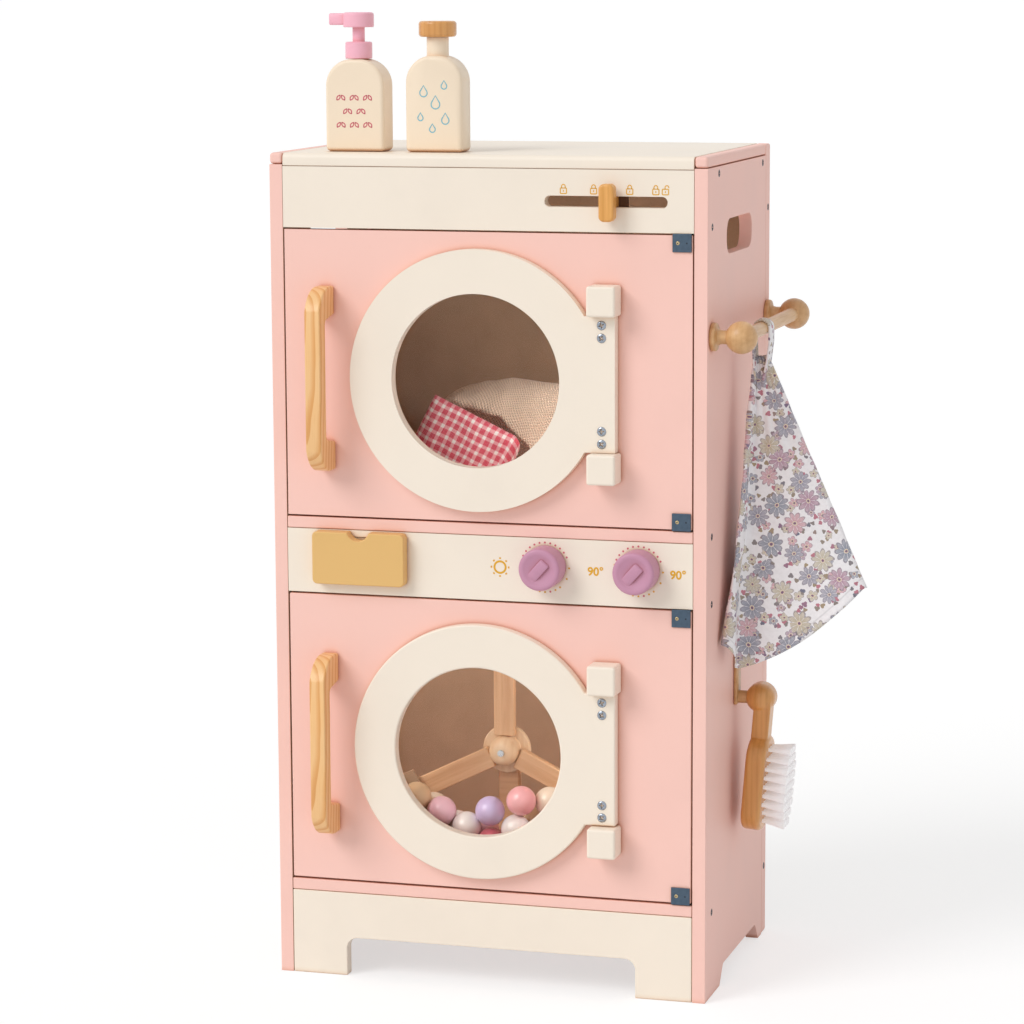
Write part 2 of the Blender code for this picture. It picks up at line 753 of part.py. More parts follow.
def build_door(label, low, height, ring_drop, frame):
    """A square door: panel, ring with tab, pane, handle, two blocks and two pivot plates."""
    high = low + height
    mid = low + height / 2
    hinge = empty(label + "_door_hinge", (PIVOT_X, PIVOT_DEPTH, low), frame)
    ring_z = mid - ring_drop

    window = circle((RING_X, ring_z), WINDOW_RADIUS + PANE_OVERLAP + FIT)
    face = rectangle(DOOR_LEFT, DOOR_RIGHT, low, high)
    panel = outline_mesh(label + "_door_panel", [face, window], BOARD, "Y")
    item = add_object(label + "_door_panel", panel, (0, BOARD / 2, 0), "pink", hinge)
    ease_edges(item, EASE)

    meet = degrees(asin(TAB_HEIGHT / 2 / RING_RADIUS))
    ring_loop = arc((RING_X, ring_z), RING_RADIUS, meet, 360 - meet, ROUND_STEPS)
    tab_right = RING_X + TAB_REACH
    ring_loop.append((tab_right, ring_z - TAB_HEIGHT / 2))
    ring_loop.append((tab_right, ring_z + TAB_HEIGHT / 2))
    hole = circle((RING_X, ring_z), WINDOW_RADIUS)
    ring = outline_mesh(label + "_window_ring", [ring_loop, hole], RING_THICK, "Y")
    ring_y = -FIT - RING_THICK / 2
    item = add_object(label + "_window_ring", ring, (0, ring_y, 0), "cream", hinge)
    ease_edges(item, RING_EASE)

    pane_radius = WINDOW_RADIUS + PANE_OVERLAP
    pane = cylinder_mesh(label + "_pane", pane_radius, PANE_THICK, "Y", ROUND_STEPS)
    add_object(label + "_pane", pane, (RING_X, PANE_THICK / 2, ring_z), "clear", hinge, 35)

    build_handle(label, mid - HANDLE_DROP, hinge)

    block_right = tab_right + BLOCK_LIP
    across = (block_right - BLOCK_WIDTH, block_right)
    deep = (-FIT - BLOCK_PROUD, -FIT)
    start = ring_z + TAB_HEIGHT / 2 + FIT
    board(label + "_top_block", across, deep, (start, start + BLOCK_HEIGHT), "cream", hinge, BLOCK_ROUND, 2)
    end = ring_z - TAB_HEIGHT / 2 - FIT
    board(label + "_bottom_block", across, deep, (end - BLOCK_HEIGHT, end), "cream", hinge, BLOCK_ROUND, 2)

    build_plate(label + "_top_plate", high, 1, hinge)
    build_plate(label + "_bottom_plate", low, -1, hinge)


def build_handle(label, mid, hinge):
    """Bow handle cut from a board: two feet, a bar, curved ends."""
    half = HANDLE_LENGTH / 2
    grip = HANDLE_GRIP / 2
    under = HANDLE_PROUD - HANDLE_BAR
    turn = degrees(asin((HANDLE_PROUD - HANDLE_FLAT) / HANDLE_CURVE))
    centre = half - HANDLE_CURVE
    lower = arc((-HANDLE_FLAT, mid - centre), HANDLE_CURVE, 270, 270 - turn, HANDLE_CURVE_STEPS)
    upper = arc((-HANDLE_FLAT, mid + centre), HANDLE_CURVE, 90 + turn, 90, HANDLE_CURVE_STEPS)
    outline = rounded([
        (-FIT, mid - half, 0),
        *[(out, height, 0) for out, height in lower + upper],
        (-FIT, mid + half, 0),
        (-FIT, mid + grip, 0),
        (-under, mid + grip - HANDLE_LEAN, HANDLE_ROUND),
        (-under, mid - grip + HANDLE_LEAN, HANDLE_ROUND),
        (-FIT, mid - grip, 0),
    ])
    mesh = outline_mesh(label + "_handle", [outline], HANDLE_WIDTH, "X")
    place = (DOOR_LEFT + HANDLE_INSET, 0, 0)
    item = add_object(label + "_handle", mesh, place, "pine", hinge)
    ease_edges(item, HANDLE_EDGE, 2)


def build_plate(name, edge, up, hinge):
    """Angle plate on a door corner: front leg, leg over the edge, and pivot pin."""
    leg_near = edge + up * FIT
    leg_far = leg_near + up * PLATE_LEG
    foot = edge - up * (PLATE_HEIGHT - PLATE_LEG)
    outline = [
        (-FIT - PLATE_THICK, foot),
        (-FIT, foot),
        (-FIT, leg_near),
        (PIVOT_DEPTH * 2, leg_near),
        (PIVOT_DEPTH * 2, leg_far),
        (-FIT - PLATE_THICK, leg_far),
    ]
    mesh = outline_mesh(name, [outline], PLATE_WIDTH, "X")
    mid = DOOR_RIGHT - PLATE_EDGE - PLATE_WIDTH / 2
    item = add_object(name, mesh, (mid, 0, 0), "steel", hinge)
    length = PIN_REACH + DOOR_GAP - FIT * 2 - PLATE_LEG / 2
    start = edge + up * (FIT + PLATE_LEG / 2)
    pin = cylinder_mesh(name + "_pin", PIN_RADIUS, length, "Z", 12)
    join(item, cutter(name + "_pin", pin, (PIVOT_X, PIVOT_DEPTH, start + up * length / 2), hinge))


def build_lever(frame):
    """Slide lever: rounded block, shank through the slot, keeper behind the fascia."""
    x = WIDTH - LEVER_FROM_RIGHT
    z = FASCIA_Z + SLOT_RISE
    slide = empty("lever_slide", (x, 0, z), frame)
    face = rectangle(-LEVER_WIDTH / 2, LEVER_WIDTH / 2, -LEVER_HEIGHT / 2, LEVER_HEIGHT / 2, LEVER_ROUND)
    mesh = outline_mesh("slide_lever", [face], LEVER_THICK, "Y")
    item = add_object("slide_lever", mesh, (x, -LEVER_PROUD + LEVER_THICK / 2, z), "mustard", slide)
    ease_edges(item, LEVER_EDGE, 2)
    start = -LEVER_PROUD + LEVER_THICK / 2
    end = BOARD + FIT
    tall = SLOT_HEIGHT - RUN_GAP
    shank = box_mesh("lever_shank", (SHANK_WIDTH, end - start, tall))
    join(item, cutter("lever_shank", shank, (x, (start + end) / 2, z), slide))
    half = KEEPER_WIDTH / 2
    rise = KEEPER_HEIGHT / 2
    board("lever_keeper", (x - half, x + half), (end + FIT, end + FIT + KEEPER_THICK), (z - rise, z + rise),
          "beech", slide)


def build_knob(label, x, frame):
    """Turned knob with a wedge grip across its face, on a shaft with a head behind the panel."""
    turn = empty(label + "_knob_turn", (x, 0, KNOB_Z), frame)
    crown = [(0, KNOB_DEPTH)]
    crown.extend(reversed(arc((KNOB_RADIUS - KNOB_ROUND, KNOB_DEPTH - KNOB_ROUND), KNOB_ROUND, 0, 90, 4)))
    crown.append((KNOB_RADIUS, FIT))
    crown.append((SHAFT_RADIUS + FIT, FIT))
    crown.append((SHAFT_RADIUS + FIT, SHAFT_DEEP + FIT))
    crown.append((0, SHAFT_DEEP + FIT))
    mesh = turned_mesh(label + "_knob", crown, "Y")
    item = add_object(label + "_knob", mesh, (x, 0, KNOB_Z), "mauve", turn, 35)
    grip = outline_mesh(label + "_grip", [[
        (-GRIP_TAIL, -GRIP_HEIGHT / 2),
        (GRIP_FRONT, -GRIP_HEIGHT / 2),
        (GRIP_FRONT - GRIP_HEIGHT / 6, GRIP_HEIGHT),
        (GRIP_SLOPE - GRIP_TAIL, GRIP_HEIGHT),
    ]], GRIP_WIDTH, "Y")
    grip.transform(Matrix.Rotation(-pi / 2, 4, "X") @ Matrix.Rotation(pi, 4, "X"))
    wedge = cutter(label + "_grip", grip, (x, -KNOB_DEPTH, KNOB_Z), turn)
    wedge.rotation_euler = (0, radians(-GRIP_ANGLE), 0)
    ease_edges(wedge, GRIP_EASE, 2)
    join(item, wedge)
    head = BOARD + FIT + SHAFT_HEAD
    profile = [
        (0, SHAFT_DEEP),
        (SHAFT_RADIUS, SHAFT_DEEP),
        (SHAFT_RADIUS, -BOARD - FIT),
        (SHAFT_HEAD_RADIUS, -BOARD - FIT),
        (SHAFT_HEAD_RADIUS, -head),
        (0, -head),
    ]
    mesh = turned_mesh(label + "_shaft", profile, "Y", SMALL_STEPS)
    add_object(label + "_shaft", mesh, (x, 0, KNOB_Z), "zinc", turn, 35)


def build_drawer(frame):
    """Soap drawer: notched front with rounded corners and an open bin behind it."""
    slide = empty("drawer_slide", (DRAWER_X, 0, BIN_BOTTOM), frame)
    top = PANEL_TOP - DRAWER_TOP_GAP
    half = DRAWER_WIDTH / 2
    notch = NOTCH_WIDTH / 2
    bottom = top - DRAWER_HEIGHT
    scoop = (notch * notch + NOTCH_DEPTH * NOTCH_DEPTH) / (2 * NOTCH_DEPTH)
    sweep = degrees(asin(notch / scoop))
    curve = arc((0, top - NOTCH_DEPTH + scoop), scoop, sweep - 90, -sweep - 90, NOTCH_STEPS)
    outline = rounded([
        (-half, bottom, DRAWER_ROUND),
        (half, bottom, DRAWER_ROUND),
        (half, top, DRAWER_ROUND),
        (notch, top, DRAWER_ROUND / 3),
        *[(across, height, 0) for across, height in curve[1:-1]],
        (-notch, top, DRAWER_ROUND / 3),
        (-half, top, DRAWER_ROUND),
    ])
    mesh = outline_mesh("drawer_front", [outline], DRAWER_THICK, "Y")
    item = add_object("drawer_front", mesh, (DRAWER_X, -FIT - DRAWER_THICK / 2, 0), "mustard", slide)
    ease_edges(item, DRAWER_EASE, 2)

    length = BIN_LENGTH
    mid = (DRAWER_X, length / 2, BIN_BOTTOM + BIN_HEIGHT / 2)
    bin_box = add_object("drawer_bin", box_mesh("drawer_bin", (BIN_HALF * 2, length, BIN_HEIGHT)), mid,
                         "hardboard", slide)
    hollow = box_mesh("bin_hollow", (BIN_HALF * 2 - BIN_WALL * 2, length - BIN_WALL * 2, BIN_HEIGHT))
    cut(bin_box, cutter("bin_hollow", hollow, (mid[0], mid[1], mid[2] + BIN_WALL), slide))


def build_paddle(frame):
    """Three arms on a turned hub, which turns on an axle screwed into the upright post."""
    spin = empty("paddle_spin", (HUB_X, BOSS_FRONT, HUB_Z), frame)
    disc_back = BOSS_LENGTH + DISC_THICK
    bore = AXLE_RADIUS + FIT
    profile = [(bore, 0)]
    dome = arc((BOSS_RADIUS - BOSS_ROUND, BOSS_ROUND), BOSS_ROUND, -90, 0, 4)
    profile.extend(dome)
    profile.extend([
        (BOSS_RADIUS, BOSS_LENGTH),
        (DISC_RADIUS, BOSS_LENGTH),
        (DISC_RADIUS, disc_back),
        (bore, disc_back),
        (bore, 0),
    ])
    flipped = [(radius, -height) for radius, height in profile]
    mesh = turned_mesh("paddle_hub", flipped, "Y")
    add_object("paddle_hub", mesh, (HUB_X, BOSS_FRONT, HUB_Z), "pine", spin, 35)

    start = BOSS_RADIUS + FIT
    for i, angle in enumerate(ARM_ANGLES):
        name = "paddle_arm_%d" % (i + 1)
        length = ARM_LENGTH - start
        mesh = box_mesh(name, (length, ARM_THICK, ARM_WIDTH))
        mesh.transform(Matrix.Translation((start + length / 2, 0, 0)))
        item = add_object(name, mesh, (HUB_X, ARM_FRONT + ARM_THICK / 2, HUB_Z), "pine", spin)
        item.rotation_euler = (0, -radians(angle), 0)
        ease_edges(item, EASE)

    reach = disc_back + FIT + AXLE_GRIP
    profile = [
        (0, AXLE_HEAD + FIT),
        (AXLE_HEAD_RADIUS, AXLE_HEAD + FIT),
        (AXLE_HEAD_RADIUS, FIT),
        (AXLE_RADIUS, FIT),
        (AXLE_RADIUS, -reach),
        (0, -reach),
    ]
    mesh = turned_mesh("paddle_axle", profile, "Y", SMALL_STEPS)
    add_object("paddle_axle", mesh, (HUB_X, BOSS_FRONT, HUB_Z), "zinc", frame, 35)

    half = POST_WIDTH / 2
    deep = (POST_FRONT, POST_FRONT + POST_THICK)
    post = board("paddle_post", (HUB_X - half, HUB_X + half), deep, (FLOOR_TOP + FIT, HUB_Z + POST_ABOVE),
                 "pine", frame)
    hole = cylinder_mesh("post_hole", AXLE_RADIUS + FIT, 2 * (AXLE_GRIP + FIT), "Y", SMALL_STEPS)
    cut(post, cutter("post_hole", hole, (HUB_X, POST_FRONT, HUB_Z), frame))


def build_tray(frame):
    """Curved tray with two lips, on a saddle block, and the heap of balls that it holds."""
    centre_z = LOWER_DOOR_Z + LOWER_DOOR / 2 - LOWER_RING_DROP
    outer = centre_z - FLOOR_TOP - TRAY_FOOT
    inner = outer - TRAY_WALL
    low = -90 - TRAY_HALF_ANGLE
    high = -90 + TRAY_HALF_ANGLE
    slab = arc((0, 0), outer, low, high, TRAY_SEGMENTS)
    lip = slab + list(reversed(arc((0, 0), inner - TRAY_LIP, low, high, TRAY_SEGMENTS)))
    mesh = outline_mesh("ball_tray", [lip], TRAY_LENGTH, "Y")
    mid_y = TRAY_FRONT + TRAY_LENGTH / 2
    tray = add_object("ball_tray", mesh, (RING_X, mid_y, centre_z), "hardboard", frame, 35)
    wide = TRAY_HALF_ANGLE + ARC_STEP
    scoop = arc((0, 0), inner, -90 - wide, -90 + wide, TRAY_SEGMENTS)
    scoop_mesh = outline_mesh("tray_scoop", [scoop], TRAY_LENGTH - 2 * TRAY_LIP_THICK, "Y")
    cut(tray, cutter("tray_scoop", scoop_mesh, (RING_X, mid_y, centre_z), frame))

    half = SADDLE_WIDTH / 2
    drop = centre_z - FLOOR_TOP - FIT
    reach = outer + FIT
    edge = degrees(asin(half / reach))
    saddle = [(-half, -drop)]
    saddle.extend(arc((0, 0), reach, -90 - edge, -90 + edge, TRAY_SEGMENTS // 2))
    saddle.append((half, -drop))
    mesh = outline_mesh("tray_saddle", [saddle], SADDLE_SPAN, "Y")
    add_object("tray_saddle", mesh, (RING_X, mid_y, centre_z), "hardboard", frame)

    first_z = centre_z - inner + BALL_RADIUS + FIT
    first_y = TRAY_FRONT + TRAY_LIP_THICK + BALL_RADIUS + FIT
    heap = add_object("play_balls", sphere_mesh("play_balls", BALL_RADIUS, 10, 8),
                      (RING_X, first_y, first_z), "balls", frame, 60)
    for i, (across, back, up) in enumerate(BALL_PLACE_SHARES[1:]):
        place = (RING_X + across * BALL_PITCH, first_y + back * BALL_PITCH, first_z + up * BALL_PITCH)
        name = "play_ball_%d" % (i + 2)
        join(heap, cutter(name, sphere_mesh(name, BALL_RADIUS, 10, 8), place, frame))


def build_rail(frame):
    """Towel rail: two turned posts with flanges, and a rod with ball ends."""
    start = WIDTH + FIT
    seat = RAIL_X - RAIL_BALL_RADIUS + POST_SEAT
    length = seat - start
    flange = arc((FLANGE_RADIUS - FLANGE_ROUND, FLANGE_THICK - FLANGE_ROUND), FLANGE_ROUND, 90, 0, 3)
    profile = [(0, length), (RAIL_RADIUS, length), (RAIL_RADIUS, FLANGE_THICK)]
    profile.extend(flange)
    profile.extend([(FLANGE_RADIUS, 0), (0, 0)])
    rod_length = RAIL_BACK - RAIL_FRONT
    rod = cylinder_mesh("towel_rail", RAIL_RADIUS, rod_length, "Y", SMALL_STEPS)
    mid = (RAIL_FRONT + RAIL_BACK) / 2
    rail = add_object("towel_rail", rod, (RAIL_X, mid, RAIL_RISE), "beech", frame, 40)
    for end, y in (("front", RAIL_FRONT), ("rear", RAIL_BACK)):
        ball = sphere_mesh("rail_ball_" + end, RAIL_BALL_RADIUS, 16, 10)
        join(rail, cutter("rail_ball_" + end, ball, (RAIL_X, y, RAIL_RISE), frame))
        bore_length = POST_SEAT + FIT + OVERRUN
        bore = cylinder_mesh("rail_bore_" + end, RAIL_RADIUS + FIT, bore_length, "X", SMALL_STEPS)
        bore_mid = seat + FIT - bore_length / 2
        cut(rail, cutter("rail_bore_" + end, bore, (bore_mid, y, RAIL_RISE), frame))
        post = turned_mesh("rail_post_" + end, profile, "X", SMALL_STEPS)
        add_object("rail_post_" + end, post, (start, y, RAIL_RISE), "beech", frame, 40)


def build_peg(frame):
    """Mounting strip on the side with the dowel that the brush hangs on."""
    half = BATTEN_WIDTH / 2
    low = PEG_RISE - PEG_RADIUS
    strip = board("peg_board", (WIDTH + FIT, PEG_X), (PEG_BACK - half, PEG_BACK + half),
                  (low, low + BATTEN_LENGTH), "beech", frame, 0)
    end = BRUSH_X - KNOB_BALL_RADIUS + BORE_DEPTH - FIT
    start = WIDTH + FIT + BATTEN_THICK / 2
    dowel = cylinder_mesh("peg_dowel", PEG_RADIUS - FIT, end - start, "X", SMALL_STEPS)
    join(strip, cutter("peg_dowel", dowel, ((start + end) / 2, PEG_BACK, PEG_RISE), frame))


def build_brush(frame):
    """Brush: knob ball with a bore for the peg, flat eye, neck, oval block and bristles."""
    swing = empty("brush_swing", (BRUSH_X, PEG_BACK, PEG_RISE), frame)
    body = add_object("brush_body", sphere_mesh("brush_body", KNOB_BALL_RADIUS, 20, 12),
                      (BRUSH_X, PEG_BACK, PEG_RISE), "beech", swing, 40)
    eye = cylinder_mesh("brush_eye", EYE_RADIUS, EYE_THICK, "Y", ROUND_STEPS // 2)
    join(body, cutter("brush_eye", eye, (BRUSH_X, PEG_BACK + EYE_BACK + EYE_THICK / 2, PEG_RISE), swing))

    tilt = empty("brush_tilt", (BRUSH_X, PEG_BACK, PEG_RISE), swing)
    tilt.rotation_euler = (0, radians(BRUSH_TILT), 0)
    top = PEG_RISE
    bottom = PEG_RISE - NECK_LENGTH
    neck = box_mesh("brush_neck", (NECK_THICK, NECK_WIDTH, top - bottom))
    neck_item = cutter("brush_neck", neck, (BRUSH_X + NECK_SHIFT, PEG_BACK, (top + bottom) / 2), tilt)
    ease_edges(neck_item, NECK_EASE, 2)
    join(body, neck_item)

    outline = stadium(BLOCK_BREADTH, BLOCK_LENGTH, BLOCK_END_SHARE)
    block = outline_mesh("brush_block", [outline], BLOCK_THICK, "X")
    block_z = bottom - BLOCK_LENGTH / 2 + OVERRUN
    block_item = cutter("brush_block", block, (BRUSH_X + BLOCK_SHIFT, PEG_BACK, block_z), tilt)
    ease_edges(block_item, BRUSH_EDGE, 2)
    join(body, block_item)

    bore_length = BORE_DEPTH + OVERRUN
    bore = cylinder_mesh("brush_bore", PEG_RADIUS, bore_length, "X", SMALL_STEPS)
    bore_mid = BRUSH_X - KNOB_BALL_RADIUS + BORE_DEPTH - bore_length / 2
    cut(body, cutter("brush_bore", bore, (bore_mid, PEG_BACK, PEG_RISE), swing))

    mesh = mesh_from(fill_bristles, "brush_bristles")
    face_x = BRUSH_X + BLOCK_SHIFT + BLOCK_THICK / 2 + FIT
    add_object("brush_bristles", mesh, (face_x, PEG_BACK, block_z), "nylon", tilt)


def stadium(breadth, length, end_share):
    """Oval outline: straight flanks and elliptic ends, flatter as the share falls."""
    half = breadth / 2
    end = half * end_share
    straight = length / 2 - end
    points = []
    for base, side in ((0, 1), (180, -1)):
        for i in range(ROUND_STEPS // 4 + 1):
            angle = radians(base + 180 * i / (ROUND_STEPS // 4))
            points.append((half * cos(angle), side * straight + end * sin(angle)))
    return points


def fill_bristles(work):
    """Grid bent into an oval; every second cell rises into a strand that leans outwards."""
    bmesh.ops.create_grid(work, x_segments=BRISTLE_COLUMNS, y_segments=BRISTLE_ROWS, size=1)
    cells = []
    for face in work.faces:
        centre = face.calc_center_median()
        column = int((centre.x + 1) / 2 * BRISTLE_COLUMNS)
        row = int((centre.y + 1) / 2 * BRISTLE_ROWS)
        if (column + row) % 2 == 0:
            cells.append(face)
    for vert in work.verts:
        across, up, _ = vert.co
        y = BRISTLE_FIELD_BREADTH / 2 * across * sqrt(1 - up * up * OVAL_BEND_SHARE)
        z = BRISTLE_FIELD_LENGTH / 2 * up * sqrt(1 - across * across * OVAL_BEND_SHARE)
        vert.co = (BRISTLE_BACKING, y, z)

    rim = [edge for edge in work.edges if edge.is_boundary]
    skirt = bmesh.ops.extrude_edge_only(work, edges=rim)["geom"]
    for vert in [item for item in skirt if isinstance(item, bmesh.types.BMVert)]:
        vert.co.x -= BRISTLE_BACKING
    foot = [item for item in skirt if isinstance(item, bmesh.types.BMEdge) and item.is_boundary]
    bmesh.ops.holes_fill(work, edges=foot, sides=0)

    raised = bmesh.ops.extrude_discrete_faces(work, faces=cells)["faces"]
    for tip in raised:
        centre = tip.calc_center_median()
        lean = Vector((BRISTLE_LENGTH, centre.y * BRISTLE_FLARE_SHARE, centre.z * BRISTLE_FLARE_SHARE))
        for vert in tip.verts:
            vert.co = centre + (vert.co - centre) * BRISTLE_TIP_SHARE + lean


def build_bottle(label, left, width, height, frame):
    """Arched bottle body standing on the top board; returns its lift empty and top centre."""
    mid = left + width / 2
    base = HEIGHT + FIT
    depth_mid = BOTTLE_FRONT + BOTTLE_DEPTH / 2
    lift = empty(label + "_lift", (mid, depth_mid, base), frame)
    half = width / 2
    outline = rounded([
        (-half, 0, FOOT_ROUND),
        (half, 0, FOOT_ROUND),
        (half, height, SHOULDER_ROUND),
        (-half, height, SHOULDER_ROUND),
    ])
    mesh = outline_mesh(label + "_body", [outline], BOTTLE_DEPTH, "Y")
    item = add_object(label + "_body", mesh, (mid, depth_mid, base), "cream", lift)
    ease_edges(item, BOTTLE_EDGE, 2)
    return item, lift, (mid, depth_mid, base + height)


def build_bottles(frame):
    body, lift, top = build_bottle("pump_bottle", BOTTLE_1_LEFT, BOTTLE_1_WIDTH, BOTTLE_1_HEIGHT, frame)
    collar_top = FIT + COLLAR_HEIGHT
    stem_top = collar_top + STEM_HEIGHT
    head_top = stem_top + HEAD_HEIGHT
    profile = [(0, head_top)]
    profile.extend(arc((HEAD_RADIUS - HEAD_ROUND, head_top - HEAD_ROUND), HEAD_ROUND, 90, 0, 3))
    profile.extend([
        (HEAD_RADIUS, stem_top),
        (STEM_RADIUS, stem_top),
        (STEM_RADIUS, collar_top),
        (COLLAR_RADIUS, collar_top),
        (COLLAR_RADIUS, FIT),
        (0, FIT),
    ])
    mesh = turned_mesh("pump", profile, "Z", SMALL_STEPS + 4)
    pump = add_object("pump", mesh, top, "rose", lift, 40)
    spout = box_mesh("pump_spout", (SPOUT_REACH, SPOUT_WIDTH, SPOUT_HEIGHT))
    spout_z = top[2] + head_top - SPOUT_DROP - SPOUT_HEIGHT / 2
    spout_item = cutter("pump_spout", spout, (top[0] - SPOUT_REACH / 2, top[1], spout_z), lift)
    ease_edges(spout_item, EASE, 2)
    join(pump, spout_item)

    body, lift, top = build_bottle("cap_bottle", BOTTLE_2_LEFT, BOTTLE_2_WIDTH, BOTTLE_2_HEIGHT, frame)
    neck = cylinder_mesh("cap_bottle_neck", NECK_RADIUS, NECK_HEIGHT + OVERRUN, "Z", SMALL_STEPS)
    neck_z = top[2] + (NECK_HEIGHT - OVERRUN) / 2
    join(body, cutter("cap_bottle_neck", neck, (top[0], top[1], neck_z), lift))
    lid_z = NECK_HEIGHT + FIT
    lid = [(0, LID_HEIGHT)]
    lid.extend(arc((LID_RADIUS - LID_ROUND, LID_HEIGHT - LID_ROUND), LID_ROUND, 90, 0, 3))
    lid.extend(arc((LID_RADIUS - LID_ROUND, LID_ROUND), LID_ROUND, 0, -90, 3))
    lid.append((0, 0))
    mesh = turned_mesh("bottle_cap", lid, "Z", SMALL_STEPS + 4)
    add_object("bottle_cap", mesh, (top[0], top[1], top[2] + lid_z), "beech", lift, 40)


def ray(across, back):
    """Unit vector down from the rail, swung by degrees to the right and towards the back."""
    x = sin(radians(across))
    y = sin(radians(back))
    return Vector((x, y, -sqrt(1 - x * x - y * y)))


def grow_down(work, faces, reach, start, steps):
    """Extrude the faces along their rays, each vertex to a share of its own reach."""
    for step, share in enumerate(steps):
        grown = bmesh.ops.extrude_face_region(work, geom=faces)["geom"]
        if step:
            bmesh.ops.delete(work, geom=faces, context="FACES")
        faces = [item for item in grown if isinstance(item, bmesh.types.BMFace)]
        for vert in [item for item in grown if isinstance(item, bmesh.types.BMVert)]:
            vert.co = vert.co.normalized() * (start + (vert[reach] - start) * share)


def fill_towel(work):
    """A strip bent into the folds' section, then grown down to the hem."""
    folds = [Vector((across, back)) * TOWEL_SPREAD for across, back, _ in TOWEL_FOLD_SHARES]
    last = len(folds) - 1
    bmesh.ops.create_grid(work, x_segments=last, y_segments=1, size=1)
    reach = work.verts.layers.float.new("reach")
    for vert in work.verts:
        i = round((vert.co.x + 1) / 2 * last)
        along = (folds[min(i + 1, last)] - folds[max(i - 1, 0)]).normalized()
        side = TOWEL_HALF_THICK if vert.co.y > 0 else -TOWEL_HALF_THICK
        place = folds[i] + Vector((-along.y, along.x)) * side
        vert[reach] = TOWEL_FOLD_SHARES[i][2] * TOWEL_LENGTH
        vert.co = ray(*place) * TOWEL_START
    grow_down(work, work.faces[:], reach, TOWEL_START, TOWEL_DOWN_SHARES)


def fill_bunch(work):
    """The gathered corner at the top of the folds."""
    mid_across, mid_back, half_across, half_back = [share * TOWEL_SPREAD for share in BUNCH_SHARES]
    bmesh.ops.create_circle(work, cap_ends=True, segments=BUNCH_STEPS, radius=1)
    reach = work.verts.layers.float.new("reach")
    for vert in work.verts:
        vert[reach] = BUNCH_END
        vert.co = ray(mid_across + half_across * vert.co.x, mid_back + half_back * vert.co.y) * BUNCH_START
    grow_down(work, work.faces[:], reach, BUNCH_START, (1,))


def build_towel(frame):
    """Square cloth hung by a corner loop: a strap over the rail, the gathered corner, the folds."""
    origin = Vector((RAIL_X, TOWEL_BACK, RAIL_RISE))
    apex = Vector((RAIL_X - TOWEL_APEX_SHIFT, TOWEL_BACK, RAIL_RISE - TOWEL_APEX_DROP))
    slide = empty("towel_slide", origin, frame)
    mesh = mesh_from(fill_towel, "towel")
    widest = max(vert.co.x for vert in mesh.vertices)
    nearest = min(vert.co.x for vert in mesh.vertices)
    out_fit = (WIDTH + TOWEL_REACH - apex.x) / widest
    wall_fit = (PEG_X + TOWEL_WALL_GAP - apex.x) / nearest
    for vert in mesh.vertices:
        vert.co.x *= out_fit if vert.co.x > 0 else wall_fit
    mesh.transform(Matrix.Translation(apex - origin))
    towel = add_object("towel", mesh, origin, "print", slide, 60)

    bunch = mesh_from(fill_bunch, "towel_bunch")
    join(towel, cutter("towel_bunch", bunch, apex, slide))

    inner = RAIL_RADIUS + FIT
    outer = inner + LOOP_THICK
    foot = -RAIL_RADIUS - LOOP_DROP
    gather = LOOP_FOOT / 2
    outside = arc((0, 0), outer, 0, 180, 12) + [(-gather, foot), (gather, foot)]
    crotch = foot + LOOP_DROP / 2
    inside = arc((0, 0), inner, 0, 180, 12) + [(-gather / 3, crotch), (gather / 3, crotch)]
    strap = outline_mesh("towel_loop", [outside, inside], LOOP_WIDTH, "Y")
    join(towel, cutter("towel_loop", strap, origin, slide))


def bundle_mesh(name, size, right_share, lean_share):
    """Folded cloth as a coarse cage: its top falls to the right, its sides lean inwards."""
    def fill(work):
        bmesh.ops.create_cube(work, size=1)
        bmesh.ops.subdivide_edges(work, edges=work.edges, cuts=2, use_grid_fill=True)
        for vert in work.verts:
            right = vert.co.x + 0.5
            up = vert.co.z + 0.5
            top = 1 + (right_share - 1) * right * right
            vert.co.z = up * top - 0.5
            vert.co.x *= 1 - lean_share * up
            vert.co.y *= 1 - lean_share * up
        bmesh.ops.scale(work, vec=size, verts=work.verts)
    return mesh_from(fill, name)


def build_bundle(name, place, size, shares, finish, frame):
    """Soft bundle standing on the upper deck, its place the left front bottom corner."""
    mid = (place[0] + size[0] / 2, place[1] + size[1] / 2, place[2] + size[2] / 2)
    item = add_object(name, bundle_mesh(name, size, *shares), mid, finish, frame, 60)
    soft = item.modifiers.new("soft", "SUBSURF")
    soft.levels = 1
    soft.render_levels = 1


def build_cloths(frame):
    """Folded gingham cloth in front, heaped waffle cloth behind, both on the upper deck."""
    base = UPPER_DECK_TOP + FIT
    size = (GINGHAM_WIDTH, GINGHAM_DEPTH, GINGHAM_HEIGHT)
    shares = (GINGHAM_RIGHT_SHARE, GINGHAM_LEAN_SHARE)
    build_bundle("gingham_cloth", (GINGHAM_LEFT, GINGHAM_FRONT, base), size, shares, "gingham", frame)
    size = (WAFFLE_WIDTH, WAFFLE_DEPTH, WAFFLE_HEIGHT)
    shares = (WAFFLE_RIGHT_SHARE, WAFFLE_LEAN_SHARE)
    start = GINGHAM_FRONT + GINGHAM_DEPTH + WAFFLE_GAP
    build_bundle("waffle_cloth", (WAFFLE_LEFT, start, base), size, shares, "waffle", frame)


